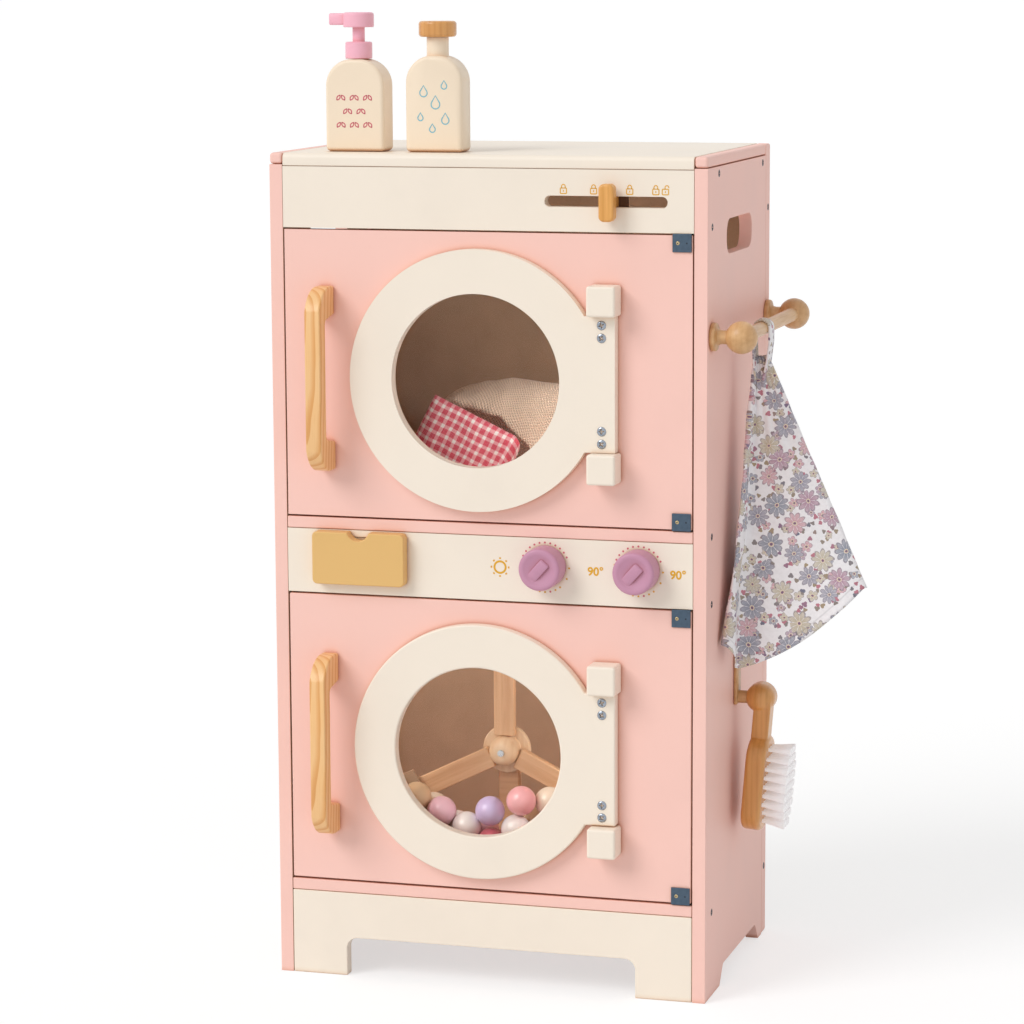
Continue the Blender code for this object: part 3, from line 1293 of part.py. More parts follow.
# Places that several pieces share
DRAWER_X = INNER_LEFT + DRAWER_LEFT_INSET + DRAWER_WIDTH / 2
BIN_HALF = DRAWER_WIDTH / 2 - BIN_SIDE_INSET
KNOB_Z = PANEL_Z + KNOB_RISE
KNOB_RIGHT_X = WIDTH - KNOB_RIGHT_INSET
KNOB_PLACES = (KNOB_RIGHT_X - KNOB_SPACING, KNOB_RIGHT_X)

clear_scene()
PARTS = new_collection("toy_washing_machine")
CUTTERS = new_collection("cutters")


def main():
    root = bpy.data.objects.new("cabinet_frame", None)
    PARTS.objects.link(root)
    root.location = FRAME_PLACE
    root["cabinet_place"] = (0, 0, 0)
    build_sides(root)
    build_carcass(root)
    build_door("upper", UPPER_DOOR_Z, UPPER_DOOR, UPPER_RING_DROP, root)
    build_door("lower", LOWER_DOOR_Z, LOWER_DOOR, LOWER_RING_DROP, root)
    build_lever(root)
    build_knob("left", KNOB_PLACES[0], root)
    build_knob("right", KNOB_PLACES[1], root)
    build_drawer(root)
    build_paddle(root)
    build_tray(root)
    build_rail(root)
    build_peg(root)
    build_brush(root)
    build_bottles(root)
    build_towel(root)
    build_cloths(root)


main()
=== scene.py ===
import json
from functools import partial
from math import asin, atan2, cos, degrees, pi, radians, sin, sqrt

import bmesh
import bpy
from bpy.props import FloatProperty, FloatVectorProperty, PointerProperty
from mathutils import Matrix, Vector, noise


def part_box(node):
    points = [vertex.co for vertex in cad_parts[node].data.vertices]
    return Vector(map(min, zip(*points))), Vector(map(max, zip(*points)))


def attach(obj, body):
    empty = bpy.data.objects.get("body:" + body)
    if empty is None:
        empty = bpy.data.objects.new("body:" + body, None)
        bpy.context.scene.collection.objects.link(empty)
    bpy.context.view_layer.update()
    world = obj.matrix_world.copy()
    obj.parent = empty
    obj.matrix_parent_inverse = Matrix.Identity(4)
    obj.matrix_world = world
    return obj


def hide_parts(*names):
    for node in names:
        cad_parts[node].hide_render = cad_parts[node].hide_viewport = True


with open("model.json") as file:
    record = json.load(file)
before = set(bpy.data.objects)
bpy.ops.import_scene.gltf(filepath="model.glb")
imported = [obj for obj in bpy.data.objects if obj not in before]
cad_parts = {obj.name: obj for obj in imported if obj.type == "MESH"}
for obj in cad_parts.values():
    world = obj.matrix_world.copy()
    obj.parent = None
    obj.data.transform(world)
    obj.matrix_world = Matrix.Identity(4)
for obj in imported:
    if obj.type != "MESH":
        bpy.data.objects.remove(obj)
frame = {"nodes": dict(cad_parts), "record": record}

bl_info = {
    "name": "Toy washing machine",
    "version": (1, 0, 0),
    "blender": (4, 5, 0),
    "location": "3D View > Sidebar > Washer",
    "description": "Dresses a wooden play washer and dryer tower, piece by piece",
    "category": "Add Mesh",
}

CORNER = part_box("left_side")[0]
BODY_OF = {node: body for body, nodes in frame["record"]["behaviour"]["bodies"].items() for node in nodes}
WHITE = (1.0, 1.0, 1.0)


def linear(code):
    """An sRGB hex colour as linear red, green and blue."""
    parts = [int(code[i:i + 2], 16) / 255 for i in (0, 2, 4)]
    return tuple(c / 12.92 if c <= 0.04045 else ((c + 0.055) / 1.055) ** 2.4 for c in parts)


def cabinet_box(node):
    """Low and high corner of a node, measured from the cabinet's front left bottom corner."""
    low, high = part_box(node)
    return low - CORNER, high - CORNER


def face_middle(node):
    """The middle of a node across and up, as the front shows it."""
    low, high = cabinet_box(node)
    return (low.x + high.x) / 2, (low.z + high.z) / 2


def colour_setting(name, description, code):
    return FloatVectorProperty(name=name, description=description, default=linear(code), subtype="COLOR",
                               size=3, min=0, max=1)


def size_setting(name, description, default):
    return FloatProperty(name=name, description=description, default=default, min=0, unit="LENGTH",
                         precision=5)


# Settings that a user would change

class WasherPaints(bpy.types.PropertyGroup):
    """Colours of the painted pieces"""
    pink: colour_setting("Pink", "Sides, doors and deck edges", "FDCFC3")
    cream: colour_setting("Cream", "Top, fascia, panel, plinth, rings and blocks", "F9EDDD")
    ochre: colour_setting("Ochre", "Drawer front", "E8BC78")
    mauve: colour_setting("Mauve", "The two dials", "C993AC")
    rose: colour_setting("Rose", "Pump of the bottle", "FABBCB")
    bottle: colour_setting("Bottle cream", "Bottle bodies", "F8E5CC")
    ink: colour_setting("Dial ink", "Marks printed on the fascia and panel", "E2A91A")
    rose_ink: colour_setting("Rose ink", "Marks on the pump bottle and round the dials", "CF5F70")
    blue_ink: colour_setting("Blue ink", "Marks on the capped bottle", "6CB9CC")


class WasherMakings(bpy.types.PropertyGroup):
    """Colours of wood, metal and cloth"""
    pine_light: colour_setting("Pine, light", "Early wood of the handles", "F6C68B")
    pine_dark: colour_setting("Pine, dark", "Late wood of the handles", "E5A661")
    beech_light: colour_setting("Beech, light", "Rail and peg", "DDB07C")
    beech_dark: colour_setting("Beech, dark", "Rail and peg, darker growth", "C08E58")
    brush_light: colour_setting("Brush beech, light", "Oiled beech of the brush and the bottle cap", "E2A35A")
    brush_dark: colour_setting("Brush beech, dark", "Darker growth of the oiled beech", "CB8A42")
    lever_light: colour_setting("Lever pine, light", "Lacquered pine of the slide lever", "EBAC5C")
    lever_dark: colour_setting("Lever pine, dark", "Darker growth of the lever's pine", "DA9846")
    paddle_light: colour_setting("Paddle beech, light", "Arms and bearing post of the paddle", "F1CAA0")
    paddle_dark: colour_setting("Paddle beech, dark", "Darker growth of the arms and the post", "DDAE82")
    hub_light: colour_setting("Hub beech, light", "Turned hub of the paddle", "FAE0BE")
    hub_dark: colour_setting("Hub beech, dark", "Darker growth of the hub", "EAC79E")
    hardboard: colour_setting("Hardboard", "Back panel, insides and bin", "C5AA8E")
    steel: colour_setting("Blued steel", "Pivot plates", "506070")
    towel_ground: colour_setting("Towel ground", "Ground of the printed cotton", "FEFBFD")
    check_red: colour_setting("Check red", "Full squares of the gingham", "DE5A6E")
    check_pink: colour_setting("Check pink", "Half squares of the gingham", "F2A6B0")
    waffle: colour_setting("Sand", "Waffle cloth", "FBE4CC")


class WasherSizes(bpy.types.PropertyGroup):
    """Sizes of the fine detail"""
    board_round: size_setting("Board edge", "Rounding on the edges of the boards", 0.0011)
    ring_round: size_setting("Ring edge", "Rounding on the edges of the window rings", 0.0022)
    handle_round: size_setting("Handle edge", "Rounding along the handles", 0.0018)
    ball: size_setting("Ball diameter", "Diameter of the loose balls", 0.027)
    mark: size_setting("Mark line", "Line width of the printed marks", 0.0009)
    dot: size_setting("Mark dot", "Diameter of the dots round the dials", 0.0017)
    flower: size_setting("Flower pitch", "Distance between the large flowers of the towel", 0.0235)
    check: size_setting("Check repeat", "Repeat of the gingham check", 0.0078)
    waffle: size_setting("Waffle cell", "Cell of the waffle cloth", 0.0022)
    towel: size_setting("Towel thickness", "Thickness of the printed cotton", 0.0009)
    ring_band: size_setting("Growth ring", "Width of a growth ring in the pine of the handles", 0.0064)
    hem: size_setting("Hem", "Distance of the hem stitch from the towel's edge", 0.008)


def paints():
    return bpy.context.scene.washer_paints


def makings():
    return bpy.context.scene.washer_makings


def sizes():
    return bpy.context.scene.washer_sizes


def colour_of(source):
    """A colour by its name in the settings, or else from its sRGB hex value."""
    for group in (paints(), makings()):
        if hasattr(group, source):
            return getattr(group, source)[:]
    return linear(source)


# Making materials

def add_node(tree, kind, links=None, out=None, stops=None, **settings):
    """A shader node with its settings, its inputs by name or in order and, if asked for, one output."""
    node = tree.nodes.new("ShaderNode" + kind)
    for key, value in settings.items():
        setattr(node, key, value)
    if isinstance(links, tuple):
        links = dict(enumerate(links))
    for key, value in (links or {}).items():
        if isinstance(value, bpy.types.NodeSocket):
            tree.links.new(value, node.inputs[key])
        else:
            wide = getattr(node.inputs[key], "type", "") == "RGBA" and len(value) == 3
            node.inputs[key].default_value = (*value, 1) if wide else value
    if stops:
        ramp = node.color_ramp
        while len(ramp.elements) < len(stops):
            ramp.elements.new(0.5)
        for element, (position, tone) in zip(ramp.elements, stops):
            element.position = position
            element.color = (*tone, 1)
    return node if out is None else node.outputs[out]


def empty_material(name):
    """A material without nodes, and the function that adds them to it."""
    material = bpy.data.materials.new(name)
    material.use_nodes = True
    material.node_tree.nodes.clear()
    return material, partial(add_node, material.node_tree)


def start_material(name, layout="Object", **values):
    """A material with one shader and the values that are the same all over it, and where its texture lies."""
    material, add = empty_material(name)
    shader = add("BsdfPrincipled", values)
    add("OutputMaterial", {"Surface": shader.outputs["BSDF"]})
    return material, add, shader, add("TexCoord", out=layout)


def surface(material, shader, colour, rough, relief=None, strength=0.0, depth=0.0):
    """The material with its colour and gloss joined up and, from a height, its relief."""
    tree = material.node_tree
    tree.links.new(colour, shader.inputs["Base Color"])
    tree.links.new(rough, shader.inputs["Roughness"])
    if relief is not None:
        bump = add_node(tree, "Bump", {"Height": relief, "Strength": strength, "Distance": depth}, "Normal")
        tree.links.new(bump, shader.inputs["Normal"])
    return material


def shade(colour, by):
    return tuple(min(1, c * by) for c in colour)


# A wave texture repeats every 0.314 of its scaled unit
WAVE_REPEAT = 0.314

# A colour mix node takes its share at input 0 and its colours at 6 and 7, and gives its result at output 2


def satin_paint(name, source, roughness):
    """Water-based paint, sprayed and rubbed down on fibreboard: a soft sheen, a faint sprayed skin."""
    colour = colour_of(source)
    material, add, shader, place = start_material(name, **{"IOR": 1.5, "Specular IOR Level": 0.3})
    # Clouds the width of a hand: uneven film thickness shifts the tone by a few percent
    cloud = add("TexNoise", {"Vector": place, "Scale": 1 / 0.09, "Detail": 3.0}, "Fac")
    tone = add("ValToRGB", {"Fac": cloud}, "Color",
         stops=[(0.25, shade(colour, 0.965)), (0.5, colour), (0.8, shade(colour, 1.012))])
    # Inner corners are darkened and warmed over the last five millimetres by ambient occlusion: painted shade
    corner = add("AmbientOcclusion", {"Distance": 0.005}, "AO", samples=4)
    painted_corner_shade = add("ValToRGB", {"Fac": corner}, "Color",
           stops=[(0.42, (0.70, 0.47, 0.33)), (0.72, (0.95, 0.88, 0.82)), (0.95, WHITE)])
    tone = add("Mix", {0: 0.8, 6: tone, 7: painted_corner_shade}, 2, data_type="RGBA", blend_type="MULTIPLY")
    # Real spray grain is near 0.5 mm and wouldn't show here, so it is drawn at 2.2 mm
    grain = add("TexNoise", {"Vector": place, "Scale": 1 / 0.0022, "Detail": 2.0}, "Fac")
    sheen = add("MapRange", {"Value": cloud, "From Min": 0.3, "From Max": 0.7,
                             "To Min": roughness - 0.04, "To Max": roughness + 0.05}, "Result")
    return surface(material, shader, tone, sheen, grain, 0.10, 0.0002)


def sawn_wood(name, timber, along, across, band, contrast, roughness=0.42, coat=0.25):
    """Planed and lacquered timber: growth bands along the piece, fine pores, a warm low gloss."""
    light = colour_of(timber + "_light")
    dark = colour_of(timber + "_dark")
    material, add, shader, place = start_material(name, **{"IOR": 1.5, "Coat Weight": coat,
                                                            "Coat Roughness": 0.22})
    lengthwise = Vector(WHITE)
    lengthwise["XYZ".index(along)] = 0.11
    grown = add("Mapping", {"Vector": place, "Scale": lengthwise, "Location": (0.03, 0.011, 0.02)},
          "Vector")
    rings = add("TexWave", {"Vector": grown, "Scale": WAVE_REPEAT / band, "Distortion": 2.2,
                            "Detail": 2.0, "Detail Scale": 0.35, "Detail Roughness": 0.5}, "Fac",
          wave_type="BANDS", bands_direction=across)
    fibre_way = Vector(WHITE)
    fibre_way["XYZ".index(along)] = 0.035
    fibres = add("Mapping", {"Vector": place, "Scale": fibre_way}, "Vector")
    # Pores are near 0.1 mm wide and are drawn at 0.9 mm, the finest that shows here
    fine = add("TexNoise", {"Vector": fibres, "Scale": 1 / 0.0009, "Detail": 3.0}, "Fac")
    wide = add("TexNoise", {"Vector": grown, "Scale": 1 / 0.010, "Detail": 2.0}, "Fac")
    banded = add("ValToRGB", {"Fac": rings}, "Color",
           stops=[(0.0, light), (0.5, light), (0.88, dark), (1.0, dark)])
    drift = add("ValToRGB", {"Fac": wide}, "Color", stops=[(0.3, dark), (0.62, light)])
    mixed = add("Mix", {0: contrast, 6: drift, 7: banded}, 2, data_type="RGBA")
    pores = add("ValToRGB", {"Fac": fine}, "Color",
          stops=[(0.30, (0.86, 0.80, 0.72)), (0.48, WHITE)])
    tone = add("Mix", {0: 0.45, 6: mixed, 7: pores}, 2, data_type="RGBA", blend_type="MULTIPLY")
    gloss = add("MapRange", {"Value": fine, "From Min": 0.3, "From Max": 0.7,
                             "To Min": roughness + 0.08, "To Max": roughness - 0.04}, "Result")
    return surface(material, shader, tone, gloss, fine, 0.12, 0.0002)


def flat_sawn_pine(name):
    """Pine sawn near the pith, sanded and lacquered: long flames on the face, arcs on the rounded ends."""
    light = colour_of("pine_light")
    dark = colour_of("pine_dark")
    material, add, shader, place = start_material(name, **{"IOR": 1.5, "Coat Weight": 0.2,
                                                            "Coat Roughness": 0.25})
    # The pith runs beside the board and leans a little against it, so the rings come out on the face
    trunk = add("Mapping", {"Vector": place, "Location": (0.016, 0.034, 0.0),
                            "Rotation": (radians(5.5), radians(3.0), 0)}, "Vector")
    rings = add("TexWave", {"Vector": trunk, "Scale": WAVE_REPEAT / sizes().ring_band,
                            "Distortion": 2.4, "Detail": 2.0, "Detail Scale": 0.35,
                            "Detail Roughness": 0.5}, "Fac",
          wave_type="RINGS", rings_direction="Z", wave_profile="SAW")
    fibres = add("Mapping", {"Vector": place, "Scale": (1, 1, 0.035)}, "Vector")
    # Fibres are far finer than a millimetre and are drawn at 0.9 mm, so that they show
    fine = add("TexNoise", {"Vector": fibres, "Scale": 1 / 0.0009, "Detail": 3.0}, "Fac")
    cloud = add("TexNoise", {"Vector": place, "Scale": 1 / 0.03, "Detail": 2.0}, "Fac")
    tone = add("ValToRGB", {"Fac": rings}, "Color",
         stops=[(0.0, light), (0.45, light), (0.86, dark), (0.97, dark), (1.0, light)])
    warm = add("ValToRGB", {"Fac": cloud}, "Color",
         stops=[(0.35, (1.0, 0.97, 0.92)), (0.65, WHITE)])
    pores = add("ValToRGB", {"Fac": fine}, "Color",
          stops=[(0.32, (0.90, 0.84, 0.76)), (0.48, WHITE)])
    for share, tint in ((1.0, warm), (0.4, pores)):
        tone = add("Mix", {0: share, 6: tone, 7: tint}, 2, data_type="RGBA", blend_type="MULTIPLY")
    gloss = add("MapRange", {"Value": fine, "From Min": 0.3, "From Max": 0.7, "To Min": 0.46,
                             "To Max": 0.38}, "Result")
    return surface(material, shader, tone, gloss, fine, 0.1, 0.0002)


def hardboard(name, source):
    """Pressed wood fibre, bare: matt, mottled, with fine short fibres."""
    colour = colour_of(source)
    material, add, shader, place = start_material(name, IOR=1.45)
    mottle = add("TexNoise", {"Vector": place, "Scale": 1 / 0.03, "Detail": 5.0}, "Fac")
    # Single fibres are near 0.5 mm, and bundles of 2.5 mm are the finest that show here
    fibre = add("TexNoise", {"Vector": place, "Scale": 1 / 0.0025, "Detail": 4.0}, "Fac")
    tone = add("ValToRGB", {"Fac": mottle}, "Color",
         stops=[(0.3, shade(colour, 0.92)), (0.7, shade(colour, 1.04))])
    flecks = add("ValToRGB", {"Fac": fibre}, "Color",
           stops=[(0.35, (0.90, 0.87, 0.84)), (0.6, WHITE)])
    mixed = add("Mix", {0: 0.5, 6: tone, 7: flecks}, 2, data_type="RGBA", blend_type="MULTIPLY")
    rough = add("MapRange", {"Value": fibre, "To Min": 0.62, "To Max": 0.8}, "Result")
    return surface(material, shader, mixed, rough, fibre, 0.08, 0.0002)


def plated_steel(name, source, roughness, metallic=1.0):
    """Stamped sheet or cold-headed wire with a thin plating: a grey mirror, dulled in clouds by handling."""
    colour = colour_of(source)
    material, add, shader, place = start_material(name, Metallic=metallic)
    haze = add("TexNoise", {"Vector": place, "Scale": 1 / 0.004, "Detail": 3.0}, "Fac")
    tone = add("ValToRGB", {"Fac": haze}, "Color",
         stops=[(0.3, shade(colour, 0.85)), (0.7, shade(colour, 1.08))])
    rough = add("MapRange", {"Value": haze, "From Min": 0.3, "From Max": 0.7,
                             "To Min": roughness - 0.06, "To Max": roughness + 0.1}, "Result")
    return surface(material, shader, tone, rough, haze, 0.06, 0.0001)


def clear_acrylic(name):
    """Cast acrylic sheet with an anti-glare face: clear, faintly warm, almost without a mirror."""
    # The index of acrylic is 1.49; the coated face mirrors far less, which a lower index gives
    material, add = empty_material(name)
    gloss = add("BsdfPrincipled", {"Base Color": (1.0, 0.985, 0.96), "Roughness": 0.03,
                                   "IOR": 1.18, "Transmission Weight": 1.0}, "BSDF")
    through = add("BsdfTransparent", {"Color": (0.96, 0.95, 0.93)}, "BSDF")
    # Light reaches the compartment straight through the sheet, as a shadow ray that isn't bent
    rays = add("LightPath")
    straight = add("Math", (rays.outputs["Is Shadow Ray"], rays.outputs["Is Diffuse Ray"]), 0,
             operation="MAXIMUM")
    both = add("MixShader", (straight, gloss, through), 0)
    add("OutputMaterial", {"Surface": both})
    return material


def lacquered_ball(name, source):
    """Turned beech ball dipped in lacquer: an even colour with a small sharp highlight."""
    colour = colour_of(source)
    material, add, shader, place = start_material(name, **{"IOR": 1.5, "Coat Weight": 0.35,
                                                            "Coat Roughness": 0.12})
    cloud = add("TexNoise", {"Vector": place, "Scale": 1 / 0.012, "Detail": 3.0}, "Fac")
    tone = add("ValToRGB", {"Fac": cloud}, "Color",
         stops=[(0.3, shade(colour, 0.93)), (0.7, shade(colour, 1.03))])
    rough = add("MapRange", {"Value": cloud, "To Min": 0.3, "To Max": 0.42}, "Result")
    return surface(material, shader, tone, rough, cloud, 0.05, 0.0003)


def nylon_filament(name):
    """Extruded white nylon bristle: milky, slightly glossy, lets a little light through."""
    # The nylon is given a faint glow of its own, painted light that brightens the white tufts
    material, add, shader, place = start_material(name, **{
        "IOR": 1.53, "Subsurface Weight": 0.15, "Subsurface Scale": 0.002, "Subsurface Radius": WHITE,
        "Emission Color": (1.0, 0.97, 0.985), "Emission Strength": 0.10})
    cloud = add("TexNoise", {"Vector": place, "Scale": 1 / 0.004, "Detail": 2.0}, "Fac")
    tone = add("ValToRGB", {"Fac": cloud}, "Color",
         stops=[(0.3, linear("FDF9FA")), (0.7, linear("FFFEFE"))])
    rough = add("MapRange", {"Value": cloud, "To Min": 0.38, "To Max": 0.52}, "Result")
    return surface(material, shader, tone, rough)


def crossed_waves(add, place, repeat):
    """Two sine waves over a cloth, one along each of its thread ways."""
    parts = add("SeparateXYZ", {"Vector": place})
    waves = []
    for way in "XY":
        turn = add("Math", (parts.outputs[way], 2 * pi / repeat), 0, operation="MULTIPLY")
        waves.append(add("Math", (turn,), 0, operation="SINE"))
    return waves


def weave(add, place, thread):
    """Height of a plain weave, over and under, from two crossed waves."""
    return add("Math", tuple(crossed_waves(add, place, 2 * thread)), 0, operation="MULTIPLY")


def pulled(add, place, cell, by):
    """The layout of a cloth with its threads pulled out of line, in cells of one size."""
    bend = add("TexNoise", {"Vector": place, "Scale": 1 / cell, "Detail": 1.0}, "Color")
    return add("VectorMath", (bend, (by, by, 0.0), place), 0, operation="MULTIPLY_ADD")


def flower_layer(add, place, pitch, petals, reach, spread):
    """Masks and chance values of one scatter of flowers, one in each cell."""
    cells = add("TexVoronoi", {"Vector": place, "Scale": 1 / pitch, "Randomness": spread},
          voronoi_dimensions="2D")
    local = add("VectorMath", (place, cells.outputs["Position"]), 0, operation="SUBTRACT")
    parts = add("SeparateXYZ", {"Vector": local})
    chance = add("SeparateColor", {"Color": cells.outputs["Color"]})
    around = add("Math", (parts.outputs["Y"], parts.outputs["X"]), 0, operation="ARCTAN2")
    turned = add("Math", (chance.outputs["Blue"], 6.28, around), 0, operation="MULTIPLY_ADD")
    lobes = add("Math", (turned, petals / 2), 0, operation="MULTIPLY")
    for operation in ("COSINE", "ABSOLUTE"):
        lobes = add("Math", (lobes,), 0, operation=operation)
    size = add("Math", (chance.outputs["Green"], reach * 0.35, reach * 0.8), 0,
         operation="MULTIPLY_ADD")
    drawn = add("Math", (lobes, 0.38, 0.62), 0, operation="MULTIPLY_ADD")
    edge = add("Math", (size, drawn), 0, operation="MULTIPLY")
    far = add("VectorMath", (local,), "Value", operation="LENGTH")
    share = add("Math", (far, edge), 0, operation="DIVIDE")
    inside = add("MapRange", {"Value": share, "From Min": 0.94, "From Max": 1.04, "To Min": 1.0,
                              "To Max": 0.0}, "Result")
    return {"share": share, "inside": inside, "lobes": lobes, "far": far, "chance": chance, "size": size,
            "turned": turned}


# Petal colours of the two flower prints: share of the flowers from which each one starts, then the ink
SMALL_PETALS = ((0.0, "9092A4"), (0.25, "D596A2"), (0.45, "C9BC9E"), (0.7, "B08BA2"), (0.85, "CDBFA4"))
LARGE_PETALS = ((0.0, "83869A"), (0.22, "B07C96"), (0.38, "C8BCA0"), (0.55, "8D8A9E"), (0.70, "D39AA4"),
                (0.82, "7C8498"), (0.92, "C4B494"))


def printed_cotton(name):
    """Plain-woven cotton, screen printed with scattered open flowers: matt, soft, fine threads."""
    material, add, shader, place = start_material(name, "UV", **{
        "IOR": 1.46, "Sheen Weight": 0.25, "Sheen Roughness": 0.5, "Specular IOR Level": 0.3})
    # Hand-cut screens wander a little, so the drawing is bent by about a millimetre
    wander = add("TexNoise", {"Vector": place, "Scale": 1 / 0.006, "Detail": 2.0}, "Color")
    shift = add("VectorMath", (wander, (-0.5, -0.5, -0.5)), 0, operation="ADD")
    bent = add("VectorMath", (shift, (0.0022, 0.0022, 0.0), place), 0, operation="MULTIPLY_ADD")
    blurred = add("TexNoise", {"Vector": place, "Scale": 1 / 0.0035, "Detail": 3.0}, "Fac")
    cloth = makings().towel_ground[:]
    ground = add("ValToRGB", {"Fac": blurred}, "Color",
           stops=[(0.3, shade(cloth, 0.94)), (0.6, cloth)])
    # The smallest print first: sprigs of round leaves, under the flowers
    sprigs = flower_layer(add, bent, 0.0062, 3, 0.0024, 0.95)
    leaf = add("ValToRGB", {"Fac": sprigs["chance"].outputs["Red"]}, "Color",
         stops=[(0.0, linear("7C7F95")), (0.35, linear("B3A083")), (0.6, linear("927F98")),
                (0.8, linear("C98794"))])
    chosen = add("Math", (sprigs["chance"].outputs["Blue"], 0.48), 0, operation="GREATER_THAN")
    here = add("Math", (sprigs["inside"], chosen), 0, operation="MULTIPLY")
    tone = add("Mix", {0: here, 6: ground, 7: leaf}, 2, data_type="RGBA")
    small = flower_layer(add, bent, sizes().flower * 0.52, 5, 0.0048, 0.85)
    large = flower_layer(add, bent, sizes().flower, 9, 0.0106, 0.62)
    prints = ((small, SMALL_PETALS, 0.34, 0.34), (large, LARGE_PETALS, 0.20, 0.10))
    for layer, colours, heart, left_out in prints:
        petal = add("ValToRGB", {"Fac": layer["chance"].outputs["Red"]}, "Color",
              stops=[(at, linear(code)) for at, code in colours])
        petal.node.color_ramp.interpolation = "CONSTANT"
        # Petals darken in strokes towards the middle, and the ink is thin at their rims
        stroke = add("Math", (layer["lobes"], blurred), 0, operation="MULTIPLY")
        laid_on = add("Math", (stroke, 1.2, 0.35), 0, operation="MULTIPLY_ADD")
        rim = add("MapRange", {"Value": layer["share"], "From Min": 0.2, "From Max": 1.0,
                               "To Min": 0.06, "To Max": 0.42}, "Result")
        thin = add("Math", (rim, laid_on), 0, operation="MULTIPLY")
        # Fine pale strokes run out along each petal
        strokes = add("Math", (layer["turned"], 22.0), 0, operation="MULTIPLY")
        for operation in ("SINE", "ABSOLUTE"):
            strokes = add("Math", (strokes,), 0, operation=operation)
        narrow = add("Math", (strokes, 0.42), 0, operation="LESS_THAN")
        pale = add("Math", (narrow, 0.42), 0, operation="MULTIPLY")
        # The ground shows between the petals
        gap = add("Math", (layer["lobes"], 0.20), 0, operation="LESS_THAN")
        veins = add("Math", (gap, 0.8), 0, operation="MULTIPLY")
        # A pale heart with a dark pith in it, and a darker line round the flower
        core_edge = add("Math", (layer["size"], heart), 0, operation="MULTIPLY")
        core = add("Math", (layer["far"], core_edge), 0, operation="LESS_THAN")
        pith_edge = add("Math", (core_edge, 0.55), 0, operation="MULTIPLY")
        pith = add("Math", (layer["far"], pith_edge), 0, operation="LESS_THAN")
        edged = add("MapRange", {"Value": layer["share"], "From Min": 0.84, "From Max": 0.92},
              "Result")
        outline = add("Math", (edged, 0.6), 0, operation="MULTIPLY")
        kept = add("Math", (layer["chance"].outputs["Blue"], left_out), 0,
             operation="GREATER_THAN")
        printed = add("Math", (layer["inside"], kept), 0, operation="MULTIPLY")
        for share, ink in ((thin, (0.93, 0.90, 0.92)), (pale, ground), (veins, ground),
                           (core, linear("EBD9C4")), (pith, linear("8E7088")), (outline, linear("7C6C7C"))):
            petal = add("Mix", {0: share, 6: petal, 7: ink}, 2, data_type="RGBA")
        tone = add("Mix", {0: printed, 6: tone, 7: petal}, 2, data_type="RGBA")
    # Threads are 0.35 mm apart in such cotton; 0.8 mm is the finest that shows here
    threads = weave(add, place, 0.0008)
    hem = add("Attribute", out="Fac", attribute_name="hem")
    from_stitch = add("Math", (hem, sizes().hem), 0, operation="SUBTRACT")
    from_stitch = add("Math", (from_stitch,), 0, operation="ABSOLUTE")
    seam = add("MapRange", {"Value": from_stitch, "From Min": 0.0002, "From Max": 0.0011,
                            "To Min": 0.82, "To Max": 1.0}, "Result")
    sewn = add("Mix", {0: 1.0, 6: tone, 7: seam}, 2, data_type="RGBA", blend_type="MULTIPLY")
    sunk = add("Math", (seam, 3.0), 0, operation="MULTIPLY")
    height = add("Math", (threads, 0.12, sunk), 0, operation="MULTIPLY_ADD")
    rough = add("MapRange", {"Value": blurred, "To Min": 0.75, "To Max": 0.9}, "Result")
    return surface(material, shader, sewn, rough, height, 0.35, 0.0004)


def gingham_cotton(name):
    """Yarn-dyed cotton woven in red and white checks: soft, matt, each half square a pink twill."""
    material, add, shader, place = start_material(name, "UV", **{
        "IOR": 1.46, "Sheen Weight": 0.3, "Specular IOR Level": 0.3})
    moved = pulled(add, place, 0.03, 0.003)
    stripes = []
    for wave in crossed_waves(add, moved, sizes().check):
        stripes.append(add("MapRange", {"Value": wave, "From Min": -0.50, "From Max": -0.16},
                     "Result"))
    both = add("Math", tuple(stripes), 0, operation="ADD")
    dyed = add("Math", (both, 0.5), 0, operation="MULTIPLY")
    # Half squares show the two yarns as a fine diagonal, drawn at 1.3 mm so that it shows
    parts = add("SeparateXYZ", {"Vector": moved})
    slope = add("Math", (parts.outputs["X"], parts.outputs["Y"]), 0, operation="ADD")
    turn = add("Math", (slope, 2 * pi / 0.0013), 0, operation="MULTIPLY")
    twill = add("Math", (turn,), 0, operation="SINE")
    from_half = add("Math", (dyed, 0.5), 0, operation="SUBTRACT")
    from_half = add("Math", (from_half,), 0, operation="ABSOLUTE")
    half = add("Math", (0.5, from_half), 0, operation="SUBTRACT")
    lines = add("Math", (twill, half), 0, operation="MULTIPLY")
    mixed = add("Math", (lines, 0.28, dyed), 0, operation="MULTIPLY_ADD")
    tone = add("ValToRGB", {"Fac": mixed}, "Color",
         stops=[(0.0, linear("FFF8F6")), (0.5, makings().check_pink[:]),
                (1.0, makings().check_red[:])])
    # Threads are near 0.4 mm apart, and 0.9 mm is the finest that shows here
    threads = weave(add, place, 0.0009)
    rough = add("MapRange", {"Value": twill, "From Min": -1.0, "To Min": 0.78, "To Max": 0.9},
          "Result")
    return surface(material, shader, tone, rough, threads, 0.3, 0.0003)


